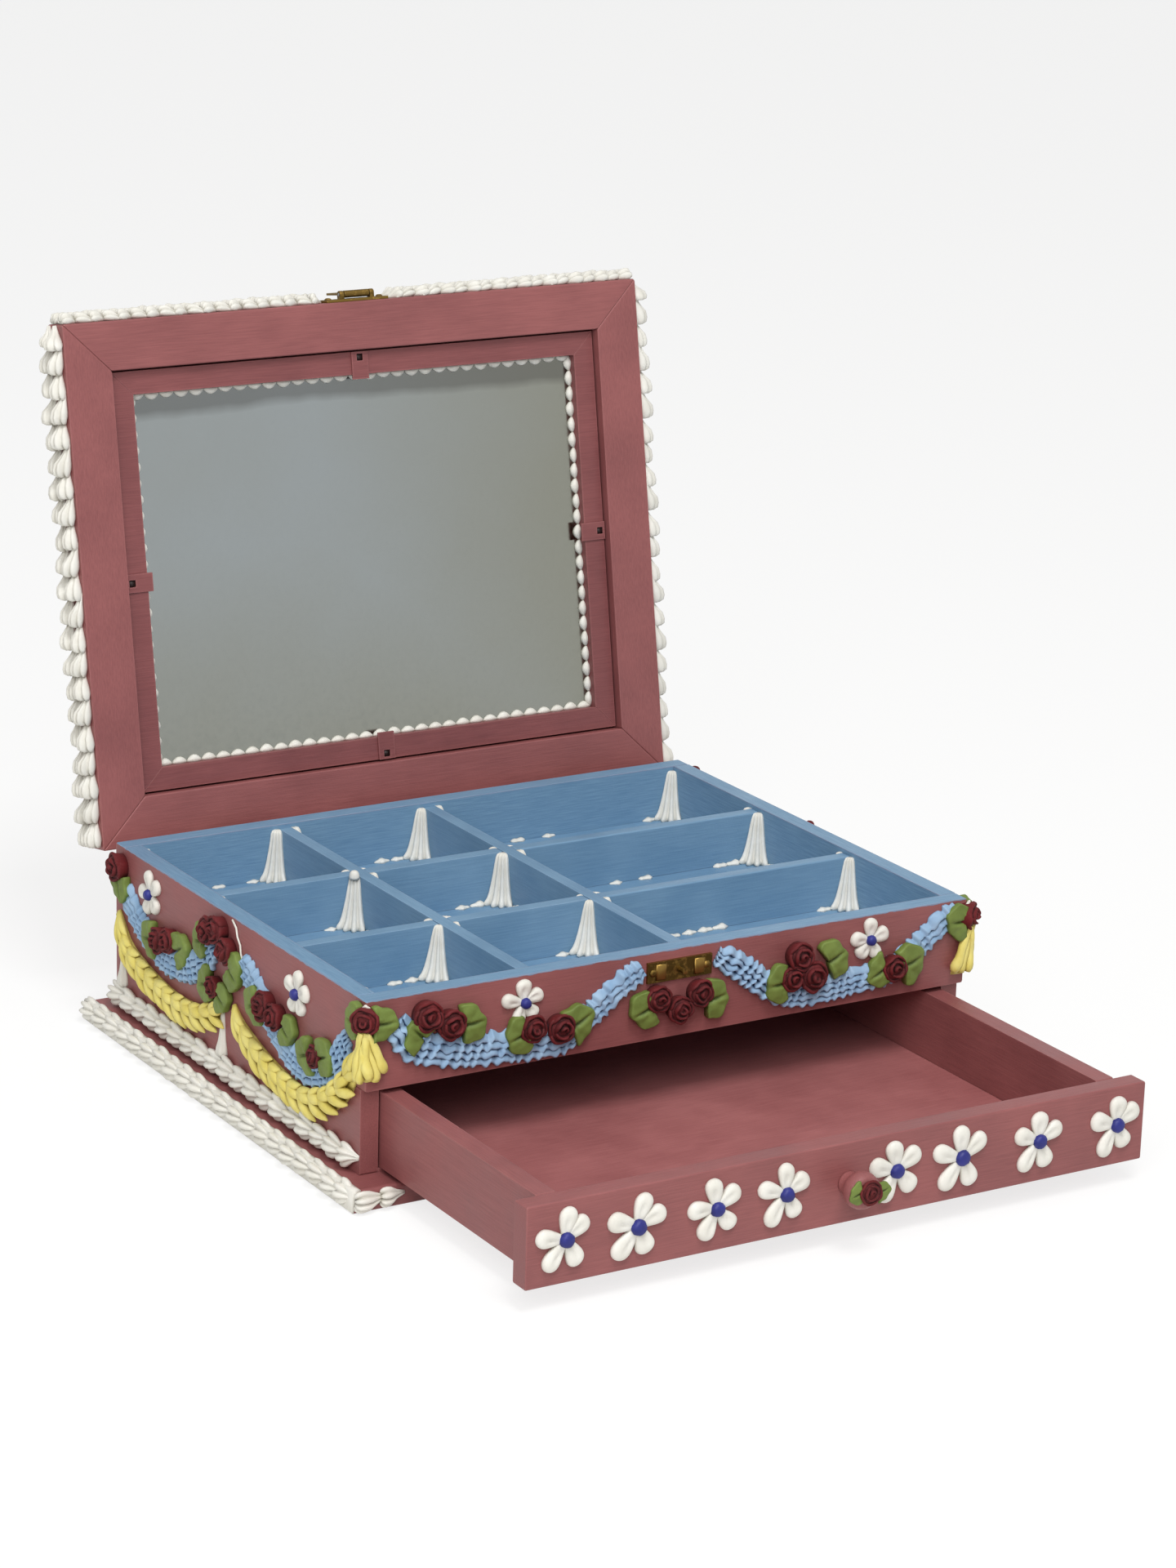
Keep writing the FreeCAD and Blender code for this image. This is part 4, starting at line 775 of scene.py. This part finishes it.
sides = {
    "roses": [(-104, -8.4, 1.05), (-64, -28.6, 1.0), (-54.5, -26.2, 0.95), (-17.6, -10.2, 1.05),
              (-10.2, -7.6, 1.0), (-2.6, -14.4, 1.0), (-13.6, -33, 0.8), (31.6, -26.6, 1.08),
              (41, -28.2, 0.95), (75, -33.4, 0.82)],
    "leaves": [(-101, -18.4, -1.2, 0.9), (-75, -31, 3.3, 1.0), (-43, -26, 0.5, 1.0),
               (-27.5, -17.5, 3.4, 0.95), (5.4, -22.8, -0.5, 1.0), (-22.6, -34.6, 3.4, 0.95),
               (-5, -36.6, -0.4, 0.95), (20.6, -30.4, 3.6, 1.05), (52, -32, -0.5, 0.95),
               (65, -36.4, 3.5, 1.0), (83.6, -31, 0.4, 0.95)],
    "daisies": [(-76, -12.6, 9.8, 0.2), (56, -14.2, 9.8, -0.1)],
    "blue": [([(-102, -16), (-92, -24), (-80, -30.6), (-62, -36), (-40.6, -33.4), (-26, -26),
               (-16.7, -17)], 11, 4, 5.0),
             ([(9, -14.6), (24, -25), (43.4, -37.4), (56.7, -42), (70, -41.4), (87.3, -33),
               (97.6, -18.5)], 11, 4, 5.0)],
    "yellow": [[(-108, -30), (-97.7, -43), (-82, -48.6), (-60, -52.4), (-40.6, -52.6),
                (-24, -49.4), (-9, -43)],
               [(0, -38), (8, -44.4), (24, -50.6), (43.6, -54.4), (62, -55.6), (80, -51),
                (96, -39.6), (106, -25)]],
    "drops": [(-103, -41, -61.2), (-9.4, -42.6, -61.6)],
}
# a thread trails down each side from the rim, and a loop goes over each front corner
trail = {"out": 0.5, "thick": 0.45, "loopThick": 0.75,
         "thread": [(-1, -1), (2.4, -3.4), (3.6, -7), (6, -9.6), (6.6, -13), (8.4, -16),
                    (8.2, -20)]}

makers = [("blue", ruffledSwag, blue), ("yellow", featheredSwag, yellow),
          ("drops", hangingDrop, white), ("leaves", leaf, green), ("roses", rose, red),
          ("daisies", daisy, petals, eyes)]
for at, places in [(frontAt, front), (sideAt[-1], sides), (sideAt[1], sides)]:
    for key, make, *skins in makers:
        for spot in places.get(key, []):
            make(*skins, at, *spot)
for side in (-1, 1):
    at = cornerAt[side]
    half = sqrt(0.5)
    overEdge = boardFace((side * case["halfX"], -case["halfY"], case["rim"]),
                         (half, side * half, 0), (0, 0, 1), (side * half, -half, 0))
    rose(red, overEdge, 0, corner["rose"], lift=0.2, root=-6.5)
    for way in (-1, 1):
        leaf(green, at, way * corner["leaf"], corner["rose"] - corner["leafDrop"],
             0 if way > 0 else pi, 0.95)
    cornerFan(yellow, at)
    thread = [(*spot, trail["out"]) for spot in trail["thread"]]
    finger(white, sideAt[side], thread, [trail["thick"]] * len(thread))
    loop = [(6 * t - 6, -1.4 - 4.5 * abs(t - 1) ** 2.2, 1.0) for t in steps(12, 2)]
    finger(white, at, loop, [trail["loopThick"]] * len(loop))
red.piped("piped_roses", "rose", "roses")
green.piped("piped_leaves", "leaf", "leaves")
petals.piped("piped_daisies", "white", "daisy_petals")
eyes.piped("piped_daisy_eyes", "daisy_eye", "daisy_eyes")
blue.piped("piped_blue_swags", "blue", "swags_blue")
yellow.piped("piped_yellow_swags", "yellow", "swags_yellow")
white.piped("piped_drops", "white", "drops_white")

# Shell borders at the base: in the angle of wall and plate, and on the plate's edge
border = {
    "wall": {"run": (-111, 107), "up": 6.2, "size": (11.4, 12.4, 6.2), "lay": (1.3, 0.03, 0.12)},
    "edge": {"run": (-121, 121), "up": 6, "size": (11.4, 11.4, 6.6), "lay": (1.3, 0, 0)},
    "turn": {"run": (0, 22), "up": 5.2, "size": (11, 9.9, 4.95), "lay": (1.4, 0, 0)},
    "lean": 0.36, "bedSteps": 60,
    "bed": [(0.1, 0.0), (0.3, 0.7), (4.0, 2.0), (8.3, 3.6), (9.0, 3.4), (9.7, 1.8), (9.9, 0.3)],
}
wallShells, plateShells = Paste(), Paste()
lean, stand = sin(border["lean"]), cos(border["lean"])
lip = case["halfY"] + case["flange"]
for side in (-1, 1):
    plateX = side * (case["halfX"] + case["flange"])
    foot = boardFace((side * case["halfX"], 0, case["plateTop"]), (0, -1, 0), (0, 0, 1),
                     (side, 0, 0))
    shellRow(wallShells, foot, border["wall"])
    edge = boardFace((plateX, 0, 0), (0, -1, 0), (-side * lean, 0, stand), (side * stand, 0, lean))
    shellRow(plateShells, edge, border["edge"])
    # the smeared bed under the row keeps the plate's arris covered between the shells
    runs = [far - lip for far in steps(border["bedSteps"], 2 * lip)]
    plateShells.loft([[edge(a, b, n * (1 + 0.07 * sin(0.45 * a))) for b, n in border["bed"]]
                      for a in runs])
    turn = boardFace((plateX, -lip, 0), (-side, 0, 0), (0, 0, 1), (0, -1, 0))
    shellRow(plateShells, turn, border["turn"])
wallShells.piped("piped_wall_shells", "white", "shells_wall")
plateShells.piped("piped_plate_shells", "white", "shells_plate")

# Tray: fluted columns pulled up every corner and dabs along the foot of each wall
trayLook = {"foot": 9.4, "flutes": 4, "fine": 8, "ball": 2.2, "ballProud": 3.4, "ballSunk": 0.6,
            "taper": [(0, 1.06), (0.04, 1.12), (0.09, 1.06), (0.15, 0.93), (0.25, 0.83),
                      (0.4, 0.73), (0.6, 0.62), (0.8, 0.53), (0.93, 0.46), (0.985, 0.38),
                      (1.0, 0.24)],
            "dabPitch": 7.6, "dabWide": 2.4, "dabTall": 2.0, "dabShare": 0.34, "endShare": 0.85}
columns, dabs = Paste(), Paste()


def cornerColumn(skin, x, y, wayX, wayY, ball):
    rings = []
    lean = rng.uniform(0.92, 1.06)
    thin = rng.uniform(0.62, 1.0)
    count = trayLook["fine"] * trayLook["flutes"]
    for t, reach in trayLook["taper"]:
        high = case["trayFloor"] + (case["columnTop"] - case["trayFloor"]) * t
        ring = [Vector((x, y, high)) * mm]
        deep = 0.15 + 0.1 * max(0, 1 - 6 * t)
        for k in range(count + 1):
            angle = pi / 2 * k / count
            wave = cos(tau * k / trayLook["fine"] + 0.6 * t)
            flute = 1 - deep * (0.5 + 0.5 * wave) ** 1.5
            far = trayLook["foot"] * reach * flute * (lean if 0 < t < 0.9 else 1)
            far *= 1 - (1 - thin) * t
            ring.append(Vector((x + wayX * far * cos(angle), y + wayY * far * sin(angle),
                                high)) * mm)
        rings.append(ring)
    skin.loft(rings)
    if ball:
        r = trayLook["ball"]
        top = boardFace((x + wayX * r, y + wayY * r, case["columnTop"] - trayLook["ballSunk"]),
                        (1, 0, 0), (0, 1, 0), (0, 0, 1))
        boss(skin, top, 0, 0, r, trayLook["ballProud"], 12)


def wallDabs(skin, at, long):
    # many dabs broke away: those next to the columns held best
    room = trayLook["foot"] * 0.9
    count = round((long - 2 * room) / trayLook["dabPitch"])
    for k in range(count):
        if rng.random() > trayLook["endShare" if k in (0, count - 1) else "dabShare"]:
            continue
        middle = room + (long - 2 * room) * (k + 0.5) / count + rng.uniform(-0.5, 0.5)
        tall = trayLook["dabTall"] * rng.uniform(0.5, 1.0)
        rings = []
        for t in steps(8):
            lumps = 1 + 0.22 * sin(9 * t + 40 * tall)
            full = sin(pi * (0.06 + 0.88 * t)) ** 0.7 * lumps
            a = middle + trayLook["dabPitch"] * (0.55 + 0.25 * tall) * (t - 0.5)
            up, out = tall * full, trayLook["dabWide"] * full
            rings.append([at(a, b, n) for b, n in ((0, 0), (up, 0.1), (0.9 * up, 0.45 * out),
                                                   (0.5 * up, 0.85 * out), (0, out))])
        skin.loft(rings)


low = case["trayFloor"]
for column, (x0, x1) in enumerate(bays["x"]):
    for row, (y0, y1) in enumerate(bays["y"]):
        for x, wayX in ((x0, 1), (x1, -1)):
            for y, wayY in ((y0, 1), (y1, -1)):
                ball = (column, row, wayX, wayY) == (0, 1, -1, -1)
                cornerColumn(columns, x, y, wayX, wayY, ball)
        for y, way in ((y0, 1), (y1, -1)):
            wallDabs(dabs, boardFace((x0, y, low), (1, 0, 0), (0, 0, 1), (0, way, 0)), x1 - x0)
        for x, way in ((x0, 1), (x1, -1)):
            wallDabs(dabs, boardFace((x, y0, low), (0, 1, 0), (0, 0, 1), (way, 0, 0)), y1 - y0)
columns.piped("piped_tray_columns", "white", "tray_columns")
dabs.piped("piped_tray_beads", "white", "tray_beads")

# Lid: two rows of shells round its edges, and the scalloped bead on the mirror along the fillet
lidLook = {
    "side": {"run": (-111, 110.6), "up": 3.7, "size": (10.6, 8.8, 7.9), "lay": (1.35, 0.16, 0.35)},
    "front": {"run": (139.6, 16), "up": 3.6, "size": (6.6, 8.8, 5.36), "lay": (1.5, 0.06, 0.4)},
    "middle": 89.1,
}
lidSides, lidFront, bead = Paste(), Paste(), Paste()
for side in (-1, 1):
    sideEdge = lidFace((side * case["halfX"], 0, lidLook["middle"]), (0, -1, 0), (0, 0, 1),
                       (side, 0, 0))
    frontEdge = lidFace((0, -case["halfY"], lidLook["middle"]), (side, 0, 0), (0, 0, 1), (0, -1, 0))
    for skin, at, look in ((lidSides, sideEdge, lidLook["side"]),
                           (lidFront, frontEdge, lidLook["front"])):
        for row in (-1, 1):
            shellRow(skin, at, look, row)
lidSides.piped("piped_lid_side_shells", "white", "lid_shells_side", "lid")
lidFront.piped("piped_lid_front_shells", "white", "lid_shells_front", "lid")

sight = {"x": 108.2, "low": -79.2, "high": 79.6, "glass": 90.6, "pitch": 7.0, "wide": 3.3,
         "proud": 2.1}
ends, level = (-sight["x"], sight["x"]), (sight["low"], sight["high"])
runs = [((0, y, sight["glass"]), (1, 0, 0), (0, way, 0), ends) for y, way in zip(level, (1, -1))]
runs += [((x, 0, sight["glass"]), (0, 1, 0), (way, 0, 0), level) for x, way in zip(ends, (1, -1))]
for origin, along, inward, (start, end) in runs:
    at = lidFace(origin, along, inward, (0, 0, -1))
    count = round((end - start) / sight["pitch"])
    for k in range(count):
        middle = start + (end - start) * (k + 0.5) / count
        wide = sight["wide"] * rng.uniform(0.8, 1.0)
        rings = []
        for t in steps(8):
            full = sin(pi * (0.05 + 0.9 * t)) ** 0.75
            a = middle + sight["pitch"] * 0.98 * (t - 0.5)
            up, out = wide * full, sight["proud"] * full
            rings.append([at(a, b, n) for b, n in ((0, 0), (0.05, out), (0.5 * up, 0.92 * out),
                                                   (0.85 * up, 0.55 * out), (up, 0))])
        bead.loft(rings)
bead.piped("piped_sight_bead", "white", "sight_bead", "lid")

# Clips: painted shade, a dark sheet set in the hollow behind each pierced end
hollowShadeLook = {"half": 1.48, "back": 85.6, "depth": (0.02, 0.3),
              "places": [(-115.7, 0.2), (115.7, 0.2), (0, -86.7), (0, 87.1)]}
hollowShadeSheets = Paste()
for x, y in hollowShadeLook["places"]:
    at = lidFace((x, y, hollowShadeLook["back"]), (1, 0, 0), (0, 1, 0), (0, 0, -1))
    h = hollowShadeLook["half"]
    hollowShadeSheets.loft([[at(a, b, n) for a, b in ((-h, -h), (h, -h), (h, h), (-h, h))]
                  for n in hollowShadeLook["depth"]])
hollowShadeSheets.piece("clip_hollow_shade", "lid", hollowShadePaint)

# Catch: stamped panels between the nails and the stud
catchLook = {"middle": -8.25, "face": 1.2, "sunk": 0.1, "proud": 0.75, "from": 6.6, "to": 11.3,
             "half": 3.3, "ease": 0.5}
panels = Paste()
for way in (-1, 1):
    rings = []
    for rise, inset in ((-catchLook["sunk"], 0), (0.5 * catchLook["proud"], 0),
                        (catchLook["proud"], catchLook["ease"])):
        left, right = catchLook["from"] + inset, catchLook["to"] - inset
        half = catchLook["half"] - inset
        rings.append([frontAt(way * a, catchLook["middle"] + b, catchLook["face"] + rise)
                      for a, b in ((left, -half), (right, -half), (right, half), (left, half))])
    panels.loft(rings)
panels.piece("catch_panels", "case", brass)

# Drawer front: eight daisies (along, up, radius, turn), the turned knob and its rose
drawer = {"face": -233.1, "middle": 25.85,
          "daisies": [(-123.9, 1.2, 12.4, 0.05), (-93.3, 0.6, 13.0, -0.08), (-59.3, 0.9, 12.0, 0.1),
                      (-28.6, 1.0, 12.2, 0.0), (21.6, 1.2, 12.4, 0.14), (52, 0.6, 13.0, 0.04),
                      (88.3, 0.9, 12.0, -0.06), (125.8, 1.0, 12.2, 0.0)]}
drawerAt = boardFace((0, drawer["face"], drawer["middle"]), (1, 0, 0), (0, 0, 1), (0, -1, 0))
petals, eyes = Paste(), Paste()
for spot in drawer["daisies"]:
    daisy(petals, eyes, drawerAt, *spot, "loose")
petals.piped("piped_drawer_daisies", "white", "drawer_daisies", "drawer")
eyes.piped("piped_drawer_eyes", "daisy_eye", "drawer_daisy_eyes", "drawer")
knobLook = {"radius": 7.4, "long": 13, "corners": 40,
            "profile": [(0.62, 0.0), (0.6, 0.06), (0.56, 0.16), (0.6, 0.27), (0.74, 0.38),
                        (0.9, 0.48), (0.985, 0.58), (1.0, 0.68), (0.97, 0.8), (0.88, 0.91),
                        (0.76, 0.97), (0.5, 1.0)],
            "rose": (0.6, 0.8), "roseScale": 0.86, "roseTall": 0.7,
            "leafOff": 6.4, "leafTurn": 0.3, "leafScale": 0.58, "settle": 0.1}
knob = Paste()
knob.loft([ringAt(drawerAt, 0, 0, [knobLook["radius"] * r] * knobLook["corners"],
                  knobLook["long"] * n) for r, n in knobLook["profile"]])
knob.piece("turned_knob", "drawer", paint["z"], ["knob"])
knobAt = boardFace((0, drawer["face"] - knobLook["long"], drawer["middle"]), (1, 0, 0), (0, 0, 1),
                   (0, -1, 0))
knobRose, knobLeaves = Paste(), Paste()
rose(knobRose, knobAt, *knobLook["rose"], knobLook["roseScale"], knobLook["settle"],
     tall=knobLook["roseTall"])
for way in (-1, 1):
    leaf(knobLeaves, knobAt, 0.6 + way * knobLook["leafOff"], 0.6,
         knobLook["leafTurn"] + (0 if way > 0 else pi), knobLook["leafScale"], knobLook["settle"])
knobRose.piped("piped_knob_rose", "rose", "knob_rose", "drawer")
knobLeaves.piped("piped_knob_leaves", "leaf", "knob_leaves", "drawer")
print("piping done")

# Stage: pale floor, white surround, soft studio light; lamps give their place, size and watts
stage = {"floor": "#F4F4F2", "rough": 0.9, "wide": 8, "below": 0.2, "glow": 1.07, "share": 0.72,
         "surround": 0.36, "aim": (0, 0, 0.1),
         "lamps": [("key", (-0.25, -1.2, 2.3), 0.8, 29), ("fill", (-1.8, -0.9, 1.0), 1.6, 4),
                   ("front", (-0.9, -1.3, 1.2), 0.9, 12)]}


def seenAtOnce(add):
    # 1 for what the camera sees directly, in metal or through glass, and 0 for other light
    light = add("LightPath").node.outputs
    seen = light["Is Camera Ray"]
    for kind in ("Is Glossy Ray", "Is Transmission Ray"):
        seen = add("Math", {0: seen, 1: light[kind]}, operation="MAXIMUM")
    return seen


bpy.ops.mesh.primitive_plane_add(size=stage["wide"], location=(0, 0, -stage["below"] * mm))
floor = bpy.context.object
floor.name = "pale_floor"
floorPaint, add, shader = freshMaterial("pale_floor_sweep")
feed(shader, {"Base Color": stage["floor"], "Roughness": stage["rough"]})
glow = add("Emission", {"Color": (1, 1, 1, 1), "Strength": stage["glow"]})
share = add("Math", {0: seenAtOnce(add), 1: stage["share"]}, operation="MULTIPLY")
blend = add("MixShader", {0: share, 1: shader.outputs[0], 2: glow})
feed(floorPaint.node_tree.nodes["Material Output"], {"Surface": blend})
floor.data.materials.append(floorPaint)

world = bpy.data.worlds.new("studio")
scene.world = world
world.use_nodes = True
add = adder(world.node_tree)
strength = add("MapRange", {0: seenAtOnce(add), 3: stage["surround"]})
feed(world.node_tree.nodes["Background"], {"Color": (1, 1, 1, 1), "Strength": strength})

for name, place, size, watts in stage["lamps"]:
    lamp = bpy.data.lights.new(name, "AREA")
    lamp.size = size
    lamp.energy = watts
    lampObject = bpy.data.objects.new(name, lamp)
    lampObject.location = place
    lampObject.rotation_mode = "QUATERNION"
    toward = Vector(stage["aim"]) - Vector(place)
    lampObject.rotation_quaternion = toward.to_track_quat("-Z", "Y")
    scene.collection.objects.link(lampObject)

# Camera: fitted to corners of the box, for a frame of 1440 by 1920
shot = {"right": (0.85585, -0.51650, 0.02735), "up": (0.12740, 0.26177, 0.95668),
        "back": (-0.50128, -0.81530, 0.28984), "place": (-0.87094, -1.45530, 0.63248),
        "lens": 98.43, "sensor": 36}
lens = bpy.data.cameras.new("shot")
lens.lens = shot["lens"]
lens.sensor_width = shot["sensor"]
camera = bpy.data.objects.new("shot", lens)
camera.matrix_world = Matrix((shot["right"], shot["up"], shot["back"])).transposed().to_4x4()
camera.location = shot["place"]
scene.collection.objects.link(camera)
scene.camera = camera
scene.view_settings.view_transform = "Standard"
print("stage, lamps and camera set")
